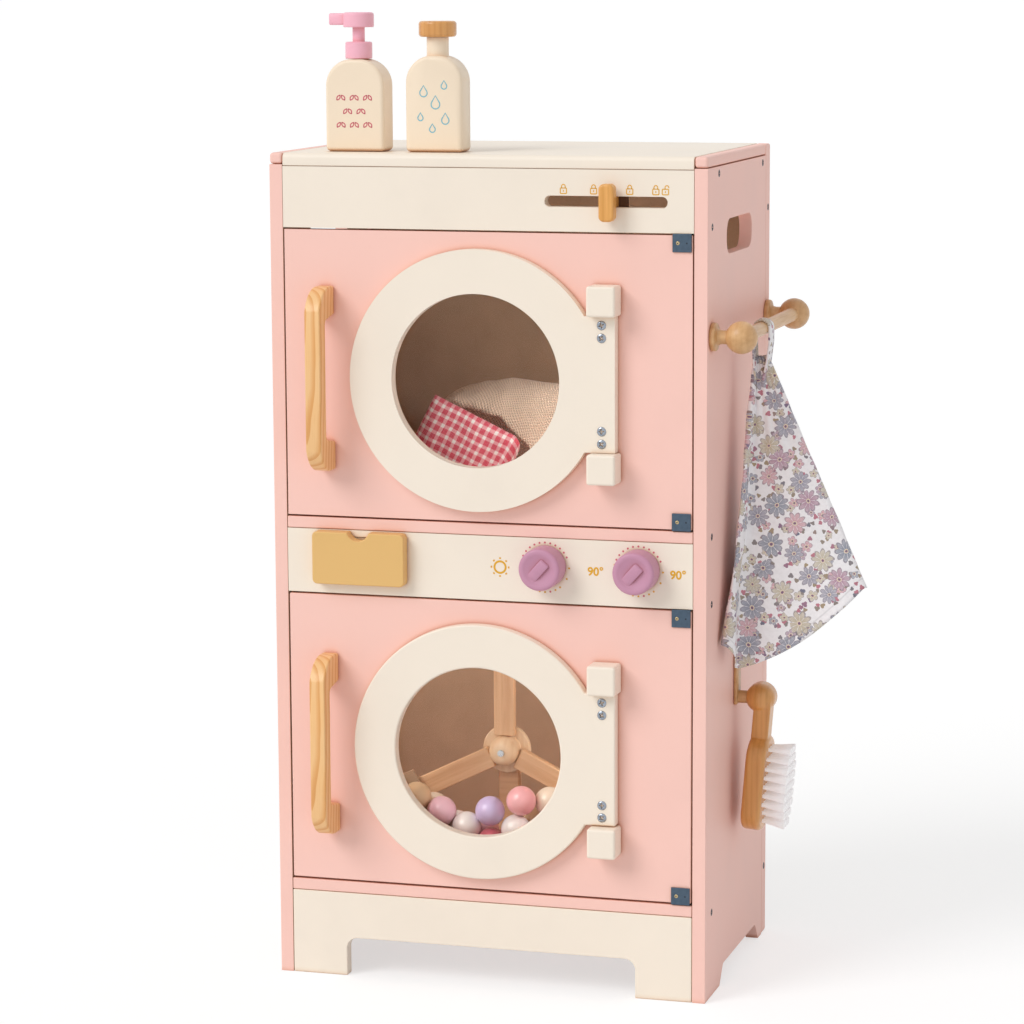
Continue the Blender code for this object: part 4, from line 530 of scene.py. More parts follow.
def waffle_cotton(name):
    """Waffle-woven cotton: square pits between raised ridges, matt and dry."""
    material, add, shader, place = start_material(name, "UV", **{
        "IOR": 1.46, "Sheen Weight": 0.35, "Specular IOR Level": 0.25})
    ridges = []
    for wave in crossed_waves(add, pulled(add, place, 0.02, 0.004), 2 * sizes().waffle):
        ridges.append(add("Math", (wave,), 0, operation="ABSOLUTE"))
    height = add("Math", tuple(ridges), 0, operation="MULTIPLY")
    height = add("Math", (height, 0.7), 0, operation="POWER")
    height = add("Math", (1.0, height), 0, operation="SUBTRACT")
    sand = makings().waffle[:]
    # Pits are painted darker and ridge tops lighter than the sand: painted shade and highlight from the
    # relief
    tone = add("ValToRGB", {"Fac": height}, "Color",
         stops=[(0.0, shade(sand, 0.70)), (0.5, sand), (1.0, shade(sand, 1.1))])
    rough = add("MapRange", {"Value": height, "To Min": 0.92, "To Max": 0.8}, "Result")
    return surface(material, shader, tone, rough, height, 0.8, 0.0009)


def printed_ink(name, source):
    """Pad-printed ink: a thin even film, a little glossier than the paint under it."""
    colour = colour_of(source)
    material, add, shader, place = start_material(name, IOR=1.5)
    cover = add("TexNoise", {"Vector": place, "Scale": 1 / 0.0015, "Detail": 2.0}, "Fac")
    tone = add("ValToRGB", {"Fac": cover}, "Color",
         stops=[(0.25, shade(colour, 1.06)), (0.6, colour)])
    rough = add("MapRange", {"Value": cover, "To Min": 0.36, "To Max": 0.5}, "Result")
    return surface(material, shader, tone, rough)


# How each finish is made, its colour's setting or hex value, then by kind: the roughness of a paint; the
# way of the grain, the way across, ring width, contrast, roughness and coat of a sawn wood; the roughness
# and share of metal of a steel
FINISHES = {
    "pink_paint": (satin_paint, "pink", 0.5),
    "cream_paint": (satin_paint, "cream", 0.40),
    "ochre_paint": (satin_paint, "ochre", 0.42),
    "mauve_paint": (satin_paint, "mauve", 0.40),
    "rose_paint": (satin_paint, "rose", 0.34),
    "bottle_paint": (satin_paint, "bottle", 0.38),
    "lacquered_pine": (flat_sawn_pine,),
    "lever_pine": (sawn_wood, "lever", "Z", "X", 0.005, 0.35),
    "beech_rod": (sawn_wood, "beech", "Y", "X", 0.005, 0.14),
    "beech_post": (sawn_wood, "beech", "X", "Y", 0.005, 0.14),
    "oiled_beech": (sawn_wood, "brush", "Z", "X", 0.005, 0.32, 0.32, 0.45),
    "paddle_beech": (sawn_wood, "paddle", "X", "Z", 0.006, 0.2),
    "hub_beech": (sawn_wood, "hub", "Z", "X", 0.006, 0.2),
    "bare_hardboard": (hardboard, "hardboard"),
    "stained_board": (hardboard, "6E4A34"),
    "blued_steel": (plated_steel, "steel", 0.42, 0.85),
    "zinc_plated_steel": (plated_steel, "C9CCD1", 0.30),
    "chromed_steel": (plated_steel, "9CA3AD", 0.16),
    # Black steel for the side screws, and painted shade in the screw recesses and the pivot holes
    "blackened_steel": (plated_steel, "2E333C", 0.45, 0.6),
    "brass_plated_steel": (plated_steel, "C7B083", 0.34),
    "clear_acrylic": (clear_acrylic,),
    "nylon_filament": (nylon_filament,),
    "printed_cotton": (printed_cotton,),
    "gingham_cotton": (gingham_cotton,),
    "waffle_cotton": (waffle_cotton,),
    "ochre_ink": (printed_ink, "ink"),
    "rose_ink": (printed_ink, "rose_ink"),
    "blue_ink": (printed_ink, "blue_ink"),
    "beige_ball": (lacquered_ball, "EBCBA2"),
    "pink_ball": (lacquered_ball, "FACBDA"),
    "white_ball": (lacquered_ball, "FBF6F4"),
    "lilac_ball": (lacquered_ball, "D6C4EE"),
    "wine_ball": (lacquered_ball, "D26B78"),
    "salmon_ball": (lacquered_ball, "FBB9BE"),
    "bone_ball": (lacquered_ball, "F3E4D0"),
}

MADE = {}


def finish(name):
    """The named material, made the first time that it is asked for."""
    if name not in MADE:
        maker, *values = FINISHES[name]
        MADE[name] = maker(name, *values)
    return MADE[name]


# Making shapes. Places are measured from the cabinet's front left bottom corner.

def arc(centre, radius, start, end, steps=12):
    points = []
    for i in range(steps + 1):
        angle = radians(start + (end - start) * i / steps)
        points.append((centre[0] + radius * cos(angle), centre[1] + radius * sin(angle)))
    return points


def circle(centre, radius, steps=96):
    return arc(centre, radius, 0, 360, steps)[:-1]


def rounded(corners, steps=6):
    """A closed outline whose corners (u, v, radius) are filleted."""
    points = []
    for i, (u, v, radius) in enumerate(corners):
        here = Vector((u, v))
        if not radius:
            points.append((u, v))
            continue
        before = (Vector(corners[i - 1][:2]) - here).normalized()
        after = (Vector(corners[(i + 1) % len(corners)][:2]) - here).normalized()
        half = before.angle(after) / 2
        reach = radius * cos(half) / sin(half)
        centre = here + (before + after).normalized() * (radius / sin(half))
        first = here + before * reach - centre
        last = here + after * reach - centre
        start = atan2(first.y, first.x)
        sweep = (atan2(last.y, last.x) - start + pi) % (2 * pi) - pi
        for k in range(steps + 1):
            angle = start + sweep * k / steps
            points.append((centre.x + radius * cos(angle), centre.y + radius * sin(angle)))
    return points


def rectangle(left, right, bottom, top, radius=0.0, steps=6):
    return rounded([(left, bottom, radius), (right, bottom, radius), (right, top, radius),
                    (left, top, radius)], steps)


def link(name, data, place=(0, 0, 0)):
    """An object for a mesh, a curve, a lamp or a camera, at a place in the cabinet."""
    piece = bpy.data.objects.new(name, data)
    bpy.context.scene.collection.objects.link(piece)
    piece.location = CORNER + Vector(place)
    return piece


def take_mesh(work, name):
    """The finished mesh of a bmesh, with its normals outwards."""
    bmesh.ops.recalc_face_normals(work, faces=work.faces)
    mesh = bpy.data.meshes.new(name)
    work.to_mesh(mesh)
    work.free()
    return mesh


def smooth(piece, angle=38):
    mesh = piece.data
    mesh.polygons.foreach_set("use_smooth", [True] * len(mesh.polygons))
    if angle:
        mesh.set_sharp_from_angle(angle=radians(angle))
    return piece


def round_edges(piece, width, segments=3, angle=40):
    """Real edges are rounded over: a bevel whose flat faces stay flat to the eye."""
    smooth(piece, 0)
    bevel = piece.modifiers.new("rounded", "BEVEL")
    bevel.width = width
    bevel.segments = segments
    bevel.limit_method = "ANGLE"
    bevel.angle_limit = radians(angle)
    bevel.harden_normals = True
    bevel.loop_slide = False
    return piece


# Turns a flat drawing so that it faces along an axis
FACING = {
    "X": Matrix(((0, 0, 1, 0), (1, 0, 0, 0), (0, 1, 0, 0), (0, 0, 0, 1))),
    "Y": Matrix(((1, 0, 0, 0), (0, 0, -1, 0), (0, 1, 0, 0), (0, 0, 0, 1))),
    "Z": Matrix.Identity(4),
}


def as_mesh(item):
    """The mesh that an object's curve or modifiers come to."""
    bpy.context.view_layer.update()
    return bpy.data.meshes.new_from_object(item.evaluated_get(bpy.context.evaluated_depsgraph_get()))


def cut_board(name, loops, low, high, facing):
    """A board sawn to flat outlines, the later ones as holes, between two depths along its facing."""
    curve = bpy.data.curves.new(name, "CURVE")
    curve.dimensions = "2D"
    curve.fill_mode = "BOTH"
    curve.extrude = (high - low) / 2
    for loop in loops:
        spline = curve.splines.new("POLY")
        spline.points.add(len(loop) - 1)
        for point, (u, v) in zip(spline.points, loop):
            point.co = (u, v, 0, 1)
        spline.use_cyclic_u = True
    flat = link(name, curve)
    solid = as_mesh(flat)
    bpy.data.objects.remove(flat)
    bpy.data.curves.remove(curve)
    solid.transform(FACING[facing])
    work = bmesh.new()
    work.from_mesh(solid)
    bpy.data.meshes.remove(solid)
    bmesh.ops.remove_doubles(work, verts=work.verts, dist=0.000004)
    bmesh.ops.dissolve_limit(work, angle_limit=radians(0.6), verts=work.verts, edges=work.edges)
    middle = Vector((0, 0, 0))
    middle["XYZ".index(facing)] = (low + high) / 2
    centre = sum((vert.co for vert in work.verts), Vector()) / len(work.verts)
    bmesh.ops.translate(work, vec=-centre, verts=work.verts)
    return link(name, take_mesh(work, name), centre + middle)


def plain_board(name, low, high, edge, segments=3):
    """A straight board between two corners, its edges rounded over."""
    low = Vector(low)
    high = Vector(high)
    work = bmesh.new()
    bmesh.ops.create_cube(work, size=1)
    bmesh.ops.scale(work, vec=high - low, verts=work.verts)
    return round_edges(link(name, take_mesh(work, name), (low + high) / 2), edge, segments)


def turned(name, profile, axis, place, steps=64, angle=38):
    """A lathe-turned piece from (radius, height) points along an axis."""
    work = bmesh.new()
    rows = []
    for radius, height in profile:
        angles = [2 * pi * i / steps for i in range(steps if radius > 0 else 1)]
        rows.append([work.verts.new((radius * cos(a), radius * sin(a), height)) for a in angles])
    for lower, upper in zip(rows, rows[1:]):
        for i in range(steps):
            k = (i + 1) % steps
            corners = list(dict.fromkeys([lower[i % len(lower)], lower[k % len(lower)],
                                          upper[k % len(upper)], upper[i % len(upper)]]))
            if len(corners) > 2:
                work.faces.new(corners)
    turn = {"X": Matrix.Rotation(pi / 2, 4, "Y"), "Y": Matrix.Rotation(pi / 2, 4, "X"),
            "Z": Matrix.Identity(4)}
    bmesh.ops.transform(work, matrix=turn[axis], verts=work.verts)
    return smooth(link(name, take_mesh(work, name), place), angle)


def fit(piece, kind, node, *more, stands_in=True):
    """Finish a piece, let it ride with its node's body, and show it in place of the nodes."""
    piece.data.materials.clear()
    piece.data.materials.append(finish(kind))
    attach(piece, BODY_OF[node])
    if stands_in:
        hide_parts(node, *more)
    return piece


def keep_node(node, kind):
    """Leave a CAD node in place, with a better finish."""
    piece = frame["nodes"][node]
    for slot in piece.material_slots:
        slot.material = finish(kind)
    if not piece.material_slots:
        piece.data.materials.append(finish(kind))


def merge(pieces, name):
    """Several separate meshes as one piece, each keeping its place."""
    work = bmesh.new()
    first = pieces[0]
    home = first.matrix_basis.copy()
    for piece in pieces:
        mesh = piece.data.copy()
        mesh.transform(home.inverted() @ piece.matrix_basis)
        work.from_mesh(mesh)
        bpy.data.meshes.remove(mesh)
    mesh = bpy.data.meshes.new(name)
    work.to_mesh(mesh)
    work.free()
    for piece in pieces:
        bpy.data.objects.remove(piece)
    piece = link(name, mesh)
    piece.matrix_basis = home
    return piece


def applied(piece):
    """The piece with its modifiers made into mesh."""
    solid = as_mesh(piece)
    piece.modifiers.clear()
    piece.data = solid
    return piece


# How far a film of ink stands off the face under it
INK_FILM = 0.00012


def ribbon(name, strokes, width, y):
    """Printed lines on a face towards the front: flat strokes of one width, barely raised."""
    work = bmesh.new()
    for points in strokes:
        closed = points[0] == points[-1]
        spots = [Vector(p) for p in (points[:-1] if closed else points)]
        count = len(spots)
        sides = []
        for i, spot in enumerate(spots):
            before = spots[i - 1] if closed or i else spots[i]
            after = spots[(i + 1) % count] if closed or i < count - 1 else spots[i]
            way = (after - before).normalized()
            across = Vector((-way.y, way.x)) * width / 2
            sides.append((spot + across, spot - across))
        rails = [[work.verts.new((p.x, -depth, p.y)) for p in pair]
                 for pair in sides for depth in (0, INK_FILM)]
        links = range(count) if closed else range(count - 1)
        for i in links:
            k = (i + 1) % count
            low_a, top_a, low_b, top_b = rails[2 * i], rails[2 * i + 1], rails[2 * k], rails[2 * k + 1]
            work.faces.new((top_a[0], top_a[1], top_b[1], top_b[0]))
            work.faces.new((low_a[0], top_a[0], top_b[0], low_b[0]))
            work.faces.new((low_a[1], top_a[1], top_b[1], low_b[1]))
            work.faces.new((low_a[0], low_a[1], low_b[1], low_b[0]))
        if not closed:
            for i in (0, count - 1):
                work.faces.new((rails[2 * i][0], rails[2 * i][1], rails[2 * i + 1][1], rails[2 * i + 1][0]))
    return link(name, take_mesh(work, name), (0, y, 0))


def spots(name, centres, radius, y):
    """Printed dots on a face towards the front."""
    work = bmesh.new()
    for u, v in centres:
        disc = bmesh.ops.create_cone(work, cap_ends=True, segments=20, radius1=radius, radius2=radius,
                                     depth=INK_FILM)
        bmesh.ops.rotate(work, cent=(0, 0, 0), matrix=Matrix.Rotation(pi / 2, 3, "X"), verts=disc["verts"])
        bmesh.ops.translate(work, vec=(u, -INK_FILM / 2, v), verts=disc["verts"])
    return link(name, take_mesh(work, name), (0, y, 0))


def lettering(name, text, height, left, bottom, y):
    """Plain printed figures on a face towards the front."""
    curve = bpy.data.curves.new(name, "FONT")
    curve.body = text
    curve.size = height
    curve.extrude = INK_FILM / 2
    curve.offset = height * 0.024
    words = link(name, curve)
    mesh = as_mesh(words)
    bpy.data.objects.remove(words)
    mesh.transform(FACING["Y"])
    return link(name, mesh, (left, y - INK_FILM / 2, bottom))


def screw_head(name, radius, dome, recess):
    """A cross-recessed screw head, domed or flush, facing up +Z."""
    work = bmesh.new()
    rows = []
    rings = 14
    around = 48
    # Half the width and the reach of a wing of the cross
    wing = radius * 0.15
    reach = radius * 0.62
    for i in range(rings + 1):
        r = radius * i / rings
        row = []
        for k in range(around if i else 1):
            angle = 2 * pi * k / around
            x = r * cos(angle)
            y = r * sin(angle)
            z = dome * sqrt(max(0, 1 - (i / rings) ** 2.4))
            depth = 0.0
            for u, v in ((x, y), (y, x)):
                over = min(1, max(0, (wing - abs(u)) / (wing * 0.5)))
                along_wing = min(1, max(0, (reach - abs(v)) / (reach * 0.3)))
                depth = max(depth, over * along_wing)
            row.append(work.verts.new((x, y, z - recess * depth)))
        rows.append(row)
    for inner, outer in zip(rows, rows[1:]):
        for k in range(around):
            n = (k + 1) % around
            corners = list(dict.fromkeys([inner[k % len(inner)], outer[k], outer[n], inner[n % len(inner)]]))
            work.faces.new(corners)
    mesh = take_mesh(work, name)
    mesh.polygons.foreach_set("use_smooth", [True] * len(mesh.polygons))
    for face in mesh.polygons:
        share = face.center.xy.length / radius
        skin = dome * sqrt(max(0, 1 - min(1, share) ** 2.4))
        # Faces sunk in the cross take the second finish, black: painted shade in the recess
        face.material_index = int(skin - face.center.z > recess * 0.3)
    return mesh


def set_screw(name, mesh, place, facing, node, kind="zinc_plated_steel", turn=25):
    """One screw on a node: its head faces front (Y) or right (X)."""
    piece = link(name, mesh, place)
    stand = Matrix.Rotation(pi / 2, 4, "X") if facing == "Y" else Matrix.Rotation(pi / 2, 4, "Y")
    piece.matrix_basis = Matrix.Translation(piece.location) @ stand @ Matrix.Rotation(radians(turn), 4, "Z")
    if not mesh.materials:
        # The second finish is black, painted shade for the cross recess
        mesh.materials.append(finish(kind))
        mesh.materials.append(finish("blackened_steel"))
    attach(piece, BODY_OF[node])
    return piece


# The pieces

class WASHER_OT_sides(bpy.types.Operator):
    """Build the two side boards with their caps and rear stiles"""
    bl_idname = "washer.sides"
    bl_label = "Sides"

    def execute(self, context):
        edge = sizes().board_round
        deep = cabinet_box("left_side")[1].y
        top = cabinet_box("left_side")[1].z
        foot_front = 0.058
        arch = 0.017
        slope = 0.014
        hand = (0.1247, cabinet_box("fascia")[0].z - 0.0078)
        # Where the rear foot begins
        heel = deep - 0.0137
        outline = rounded([
            (0, 0, 0), (foot_front, 0, 0), (foot_front + slope, arch, 0.006), (heel - slope, arch, 0.006),
            (heel, 0, 0), (deep, 0, 0), (deep, top, 0), (0, top, 0),
        ])
        hole = rectangle(hand[0] - 0.05125, hand[0] + 0.05125, hand[1] - 0.0155, hand[1] + 0.0155, 0.0133, 14)
        for side in ("left", "right"):
            low, high = cabinet_box(side + "_side")
            piece = cut_board(side + "_side_board", [outline, hole], low.x, high.x, "X")
            round_edges(piece, edge)
            fit(piece, "pink_paint", side + "_side")
            piece.data.materials.append(finish("bare_hardboard"))
            inward = 1 if side == "left" else -1
            for face in piece.data.polygons:
                if face.normal.x * inward > 0.9:
                    face.material_index = 1
            for name, ease in (("_cap", edge * 2.6), ("_stile", edge * 2.0)):
                low, high = cabinet_box(side + name)
                fit(plain_board(side + name + "_board", low, high, ease), "pink_paint", side + name)
        return {"FINISHED"}


class WASHER_OT_boards(bpy.types.Operator):
    """Build the boards between the sides: plinth, decks, panel, fascia and top"""
    bl_idname = "washer.boards"
    bl_label = "Boards"

    def execute(self, context):
        edge = sizes().board_round
        low, high = cabinet_box("plinth")
        foot = 0.052
        arch = 0.0355
        outline = rounded([
            (low.x, 0, 0), (low.x + foot, 0, 0), (low.x + foot, arch, 0.010), (high.x - foot, arch, 0.010),
            (high.x - foot, 0, 0), (high.x, 0, 0), (high.x, high.z, 0), (low.x, high.z, 0),
        ], 10)
        piece = round_edges(cut_board("plinth_board", [outline], low.y, high.y, "Y"), edge)
        fit(piece, "cream_paint", "plinth")

        for node in ("floor_deck", "upper_deck"):
            low, high = cabinet_box(node)
            fit(plain_board(node + "_board", low, high, edge), "pink_paint", node)

        low, high = cabinet_box("fascia")
        slot = rectangle(0.2541, 0.3644, 0.7058, 0.7156, 0.0048, 12)
        face = rectangle(low.x, high.x, low.z, high.z)
        piece = round_edges(cut_board("fascia_board", [face, slot], low.y, high.y, "Y"), edge)
        fit(piece, "cream_paint", "fascia")
        piece.data.materials.append(finish("bare_hardboard"))
        for side in piece.data.polygons:
            if side.normal.y > 0.9:
                side.material_index = 1

        low, high = cabinet_box("control_panel")
        bin_low, bin_high = cabinet_box("drawer_bin")
        opening = rectangle(bin_low.x - 0.0005, bin_high.x + 0.0005, bin_low.z - 0.0005, bin_high.z + 0.0005)
        face = rectangle(low.x, high.x, low.z, high.z)
        loops = [face, opening]
        for node in ("left_knob", "right_knob"):
            loops.append(circle(face_middle(node), 0.0033, 24))
        piece = round_edges(cut_board("control_panel_board", loops, low.y, high.y, "Y"), edge)
        fit(piece, "cream_paint", "control_panel")

        low, high = cabinet_box("top_board")
        outline = rounded([(0, low.z, 0.001), (high.y, low.z, 0.001), (high.y, high.z, 0.0012),
                           (0, high.z, 0.005)], 8)
        piece = round_edges(cut_board("top_board_board", [outline], low.x, high.x, "X"), edge * 0.7, 3, 60)
        fit(piece, "cream_paint", "top_board")
        for node in ("back_panel", "control_deck", "drawer_bin"):
            keep_node(node, "bare_hardboard")
        return {"FINISHED"}


def ring_outline(centre, radius, tab_right, tab_half, steps=128):
    """Outer outline of a window ring, with its square tab to the right."""
    meet = degrees(asin(tab_half / radius))
    outline = arc(centre, radius, meet, 360 - meet, steps)
    outline.append((tab_right, centre[1] - tab_half))
    outline.append((tab_right, centre[1] + tab_half))
    return outline


class WASHER_OT_doors(bpy.types.Operator):
    """Build both doors: panel, window ring with tab, and clear pane"""
    bl_idname = "washer.doors"
    bl_label = "Doors"

    def execute(self, context):
        ring = 0.116
        for label in ("upper", "lower"):
            low, high = cabinet_box(label + "_window_ring")
            centre = (low.x + ring, face_middle(label + "_window_ring")[1])
            panel_low, panel_high = cabinet_box(label + "_door_panel")
            face = rectangle(panel_low.x, panel_high.x, panel_low.z, panel_high.z)
            window = circle(centre, 0.0853, 96)
            piece = cut_board(label + "_door_board", [face, window], panel_low.y, panel_high.y, "Y")
            fit(round_edges(piece, sizes().board_round), "pink_paint", label + "_door_panel")

            outer = ring_outline(centre, ring, high.x, 0.0597)
            hole = circle(centre, 0.077, 128)
            piece = cut_board(label + "_ring_board", [outer, hole], low.y, high.y, "Y")
            fit(round_edges(piece, sizes().ring_round, 4), "cream_paint", label + "_window_ring")

            profile = [(0, -0.0014), (0.084, -0.0014), (0.0848, -0.0008), (0.0848, 0.0008), (0.084, 0.0014),
                       (0, 0.0014)]
            pane = turned(label + "_clear_pane", profile, "Y", (centre[0], 0.0015, centre[1]), 96, 20)
            fit(pane, "clear_acrylic", label + "_pane")
        return {"FINISHED"}


class WASHER_OT_handles(bpy.types.Operator):
    """Build the two sawn pine handles"""
    bl_idname = "washer.handles"
    bl_label = "Handles"

    def execute(self, context):
        for label in ("upper", "lower"):
            low, high = cabinet_box(label + "_handle")
            mid = (low.z + high.z) / 2
            half = (high.z - low.z) / 2
            back = high.y
            curve = 0.030
            foot = 0.0115
            turn = degrees(asin((-low.y - foot) / curve))
            ends = arc((-foot, mid - half + curve), curve, 270, 270 - turn, 16)
            ends += arc((-foot, mid + half - curve), curve, 90 + turn, 90, 16)
            grip = 0.05675
            under = low.y + 0.0157
            outline = rounded([
                (back, mid - half, 0), *[(y, z, 0) for y, z in ends], (back, mid + half, 0),
                (back, mid + grip, 0), (under, mid + grip - 0.004, 0.005), (under, mid - grip + 0.004, 0.005),
                (back, mid - grip, 0),
            ], 8)
            piece = cut_board(label + "_pine_handle", [outline], low.x, high.x, "X")
            fit(round_edges(piece, sizes().handle_round, 4, 50), "lacquered_pine", label + "_handle")
        return {"FINISHED"}


class WASHER_OT_hinges(bpy.types.Operator):
    """Build the hinge blocks, the pivot plates and the tab screws"""
    bl_idname = "washer.hinges"
    bl_label = "Hinge blocks and plates"

    def execute(self, context):
        head = screw_head("tab_screw", 0.0042, 0.0013, 0.0024)
        small = screw_head("plate_screw", 0.0016, 0.0004, 0.0005)
        painted_hole_shade = [(0, 0.00005), (0.0008, 0.00005), (0.0008, -0.0003), (0, -0.0003)]
        for label in ("upper", "lower"):
            ring = label + "_window_ring"
            for end in ("top", "bottom"):
                low, high = cabinet_box("%s_%s_block" % (label, end))
                piece = plain_board("%s_%s_hinge_block" % (label, end), low, high, 0.0024, 4)
                fit(piece, "cream_paint", "%s_%s_block" % (label, end))
            for i, rise in enumerate((0.052, 0.0408, -0.0408, -0.052)):
                place = (0.3085, cabinet_box(ring)[0].y, face_middle(ring)[1] + rise)
                set_screw("%s_tab_screw_%d" % (label, i + 1), head, place, "Y", ring, "chromed_steel",
                          20 + 37 * i)
            for end, up in (("top", 1), ("bottom", -1)):
                node = "%s_%s_plate" % (label, end)
                low, high = cabinet_box(node)
                panel_low, panel_high = cabinet_box(label + "_door_panel")
                edge = panel_high.z if up > 0 else panel_low.z
                front = low.y
                # Heights of the leaf on the face, and of the flap bent back over the door's edge
                lower, upper = sorted((edge - up * 0.0145, edge + up * 0.0011))
                under, over = sorted((edge + up * 0.0003, edge + up * 0.0013))
                leaf = plain_board(node + "_leaf", (low.x, front, lower), (high.x, front + 0.0012, upper),
                                   0.0004, 2)
                flap = plain_board(node + "_flap", (low.x, front + 0.0008, under), (high.x, 0.008, over),
                                   0.0003, 2)
                fit(merge([applied(leaf), applied(flap)], node + "_angle"), "blued_steel", node)
                middle = (lower + upper) / 2
                set_screw(node + "_screw", small, (low.x + 0.0048, front, middle), "Y", node,
                          "brass_plated_steel", 40)
                # A thin black disc stands for the pivot hole: painted shade
                hole = turned(node + "_eyelet", painted_hole_shade, "Y", (high.x - 0.0042, front, middle), 20)
                hole.data.materials.append(finish("blackened_steel"))
                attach(hole, BODY_OF[node])
        return {"FINISHED"}


class WASHER_OT_lever(bpy.types.Operator):
    """Build the slide lever and its keeper"""
    bl_idname = "washer.lever"
    bl_label = "Slide lever"

    def execute(self, context):
        low, high = cabinet_box("slide_lever")
        face = rectangle(low.x, high.x, low.z, high.z, 0.0047, 8)
        block = round_edges(cut_board("lever_block", [face], low.y, low.y + 0.013, "Y"), 0.0024, 4)
        x, z = face_middle("slide_lever")
        shank = plain_board("lever_shank", (x - 0.00425, low.y + 0.012, z - 0.0046),
                            (x + 0.00425, high.y, z + 0.0046), 0.0006, 2)
        fit(merge([applied(block), applied(shank)], "slide_lever_block"), "lever_pine", "slide_lever")
        keep_node("lever_keeper", "stained_board")
        return {"FINISHED"}


class WASHER_OT_drawer(bpy.types.Operator):
    """Build the drawer front with its finger notch"""
    bl_idname = "washer.drawer"
    bl_label = "Drawer"

    def execute(self, context):
        low, high = cabinet_box("drawer_front")
        mid = (low.x + high.x) / 2
        notch = 0.0100
        deep = 0.0075
        scoop = (notch * notch + deep * deep) / (2 * deep)
        sweep = degrees(asin(notch / scoop))
        finger = arc((mid, high.z - deep + scoop), scoop, sweep - 90, -sweep - 90, 20)
        outline = rounded([
            (low.x, low.z, 0.0045), (high.x, low.z, 0.0045), (high.x, high.z, 0.0045),
            (mid + notch, high.z, 0.0012), *[(x, z, 0) for x, z in finger[2:-2]],
            (mid - notch, high.z, 0.0012), (low.x, high.z, 0.0045),
        ], 8)
        piece = round_edges(cut_board("drawer_face", [outline], low.y, high.y, "Y"), 0.0014, 3)
        fit(piece, "ochre_paint", "drawer_front")
        return {"FINISHED"}


class WASHER_OT_dials(bpy.types.Operator):
    """Build the two turned dials with their finger bars"""
    bl_idname = "washer.dials"
    bl_label = "Dials"

    def execute(self, context):
        deep = 0.024
        rim = 0.0028
        # The finger bar seen from its side: low at one end, and tallest near the other
        wedge = rounded([(-0.0138, -0.0014, 0.0), (0.0142, -0.0014, 0.0), (0.0136, 0.0055, 0.0026),
                         (0.0004, 0.0052, 0.0090), (-0.0138, 0.0007, 0.0)], 5)
        for label in ("left", "right"):
            low, high = cabinet_box(label + "_knob")
            x, z = face_middle(label + "_knob")
            centre = (x, 0, z)
            radius = (high.x - low.x) / 2
            profile = [(0, 0.0003), (radius - 0.0006, 0.0003), (radius, 0.001)]
            profile += arc((radius - rim, deep - rim), rim, 0, 90, 6)
            profile += [(radius - 0.0052, deep), (radius - 0.0060, deep - 0.0006), (0, deep - 0.0006)]
            dial = turned(label + "_dial_disc", profile, "Y", centre, 72)
            bar = cut_board(label + "_dial_bar", [wedge], -0.00475, 0.00475, "Y")
            bar = applied(round_edges(bar, 0.0011, 3))
            bar.matrix_basis = (Matrix.Translation(CORNER + Vector(centre) + Vector((0, -deep, 0)))
                                @ Matrix.Rotation(radians(-48), 4, "Y") @ Matrix.Rotation(pi / 2, 4, "X"))
            piece = merge([dial, bar], label + "_dial")
            smooth(piece, 34)
            fit(piece, "mauve_paint", label + "_knob")
            keep_node(label + "_shaft", "zinc_plated_steel")
        return {"FINISHED"}


def padlock(x, z, size, open_shackle=False):
    """Strokes of a small padlock sign."""
    half = size * 0.34
    body = rectangle(x - half, x + half, z - size * 0.5, z + size * 0.08, size * 0.08, 3)
    lean = size * 0.16 if open_shackle else 0.0
    shackle = [(x - size * 0.2 + lean, z + size * 0.08)]
    shackle += [(x + lean + u, z + size * 0.26 + v) for u, v in arc((0, 0), size * 0.2, 180, 0, 8)]
    shackle.append((x + size * 0.2 + lean, z + size * (0.2 if open_shackle else 0.08)))
    hasp = [(x, z - size * 0.12), (x, z - size * 0.30)]
    return [body + [body[0]], shackle, hasp]


class WASHER_OT_marks(bpy.types.Operator):
    """Print the signs, figures and dots on the fascia and the panel"""
    bl_idname = "washer.marks"
    bl_label = "Printed marks"

    def execute(self, context):
        line = sizes().mark
        strokes = []
        for x, opened in ((0.2713, False), (0.2984, False), (0.3307, False), (0.3539, False), (0.3624, True)):
            strokes += padlock(x, 0.7216, 0.0082, opened)
        fit(ribbon("lock_signs", strokes, line * 0.9, 0), "ochre_ink", "fascia", stands_in=False)

        golden = []
        rosy = []
        for node in ("left_knob", "right_knob"):
            x = face_middle(node)[0] - 0.0008
            z = face_middle(node)[1] - 0.0012
            for step in range(28):
                angle = step * 360 / 28
                # Every second dot is left out at the right
                if step % 2 and not 30 < angle < 315:
                    continue
                group = rosy if 30 < angle < 150 or step % 5 == 2 else golden
                group.append((x + 0.0222 * cos(radians(angle)), z + 0.0222 * sin(radians(angle))))
        fit(spots("dial_dots", golden, sizes().dot / 2, 0), "ochre_ink", "control_panel", stands_in=False)
        fit(spots("dial_rose_dots", rosy, sizes().dot / 2, 0), "rose_ink", "control_panel", stands_in=False)

        for i, x in enumerate((0.2925, 0.3672)):
            figures = lettering("dial_figures_%d" % (i + 1), "90°", 0.0105, x, 0.3822, 0)
            fit(figures, "ochre_ink", "control_panel", stands_in=False)

        sun = (0.2121, 0.3860)
        disc = circle(sun, 0.0052, 28)
        rays = [disc + [disc[0]]]
        for i in range(8):
            a = radians(45 * i)
            rays.append([(sun[0] + r * cos(a), sun[1] + r * sin(a)) for r in (0.0073, 0.0087)])
        fit(ribbon("sun_sign", rays, line * 1.9, 0), "ochre_ink", "control_panel", stands_in=False)
        return {"FINISHED"}


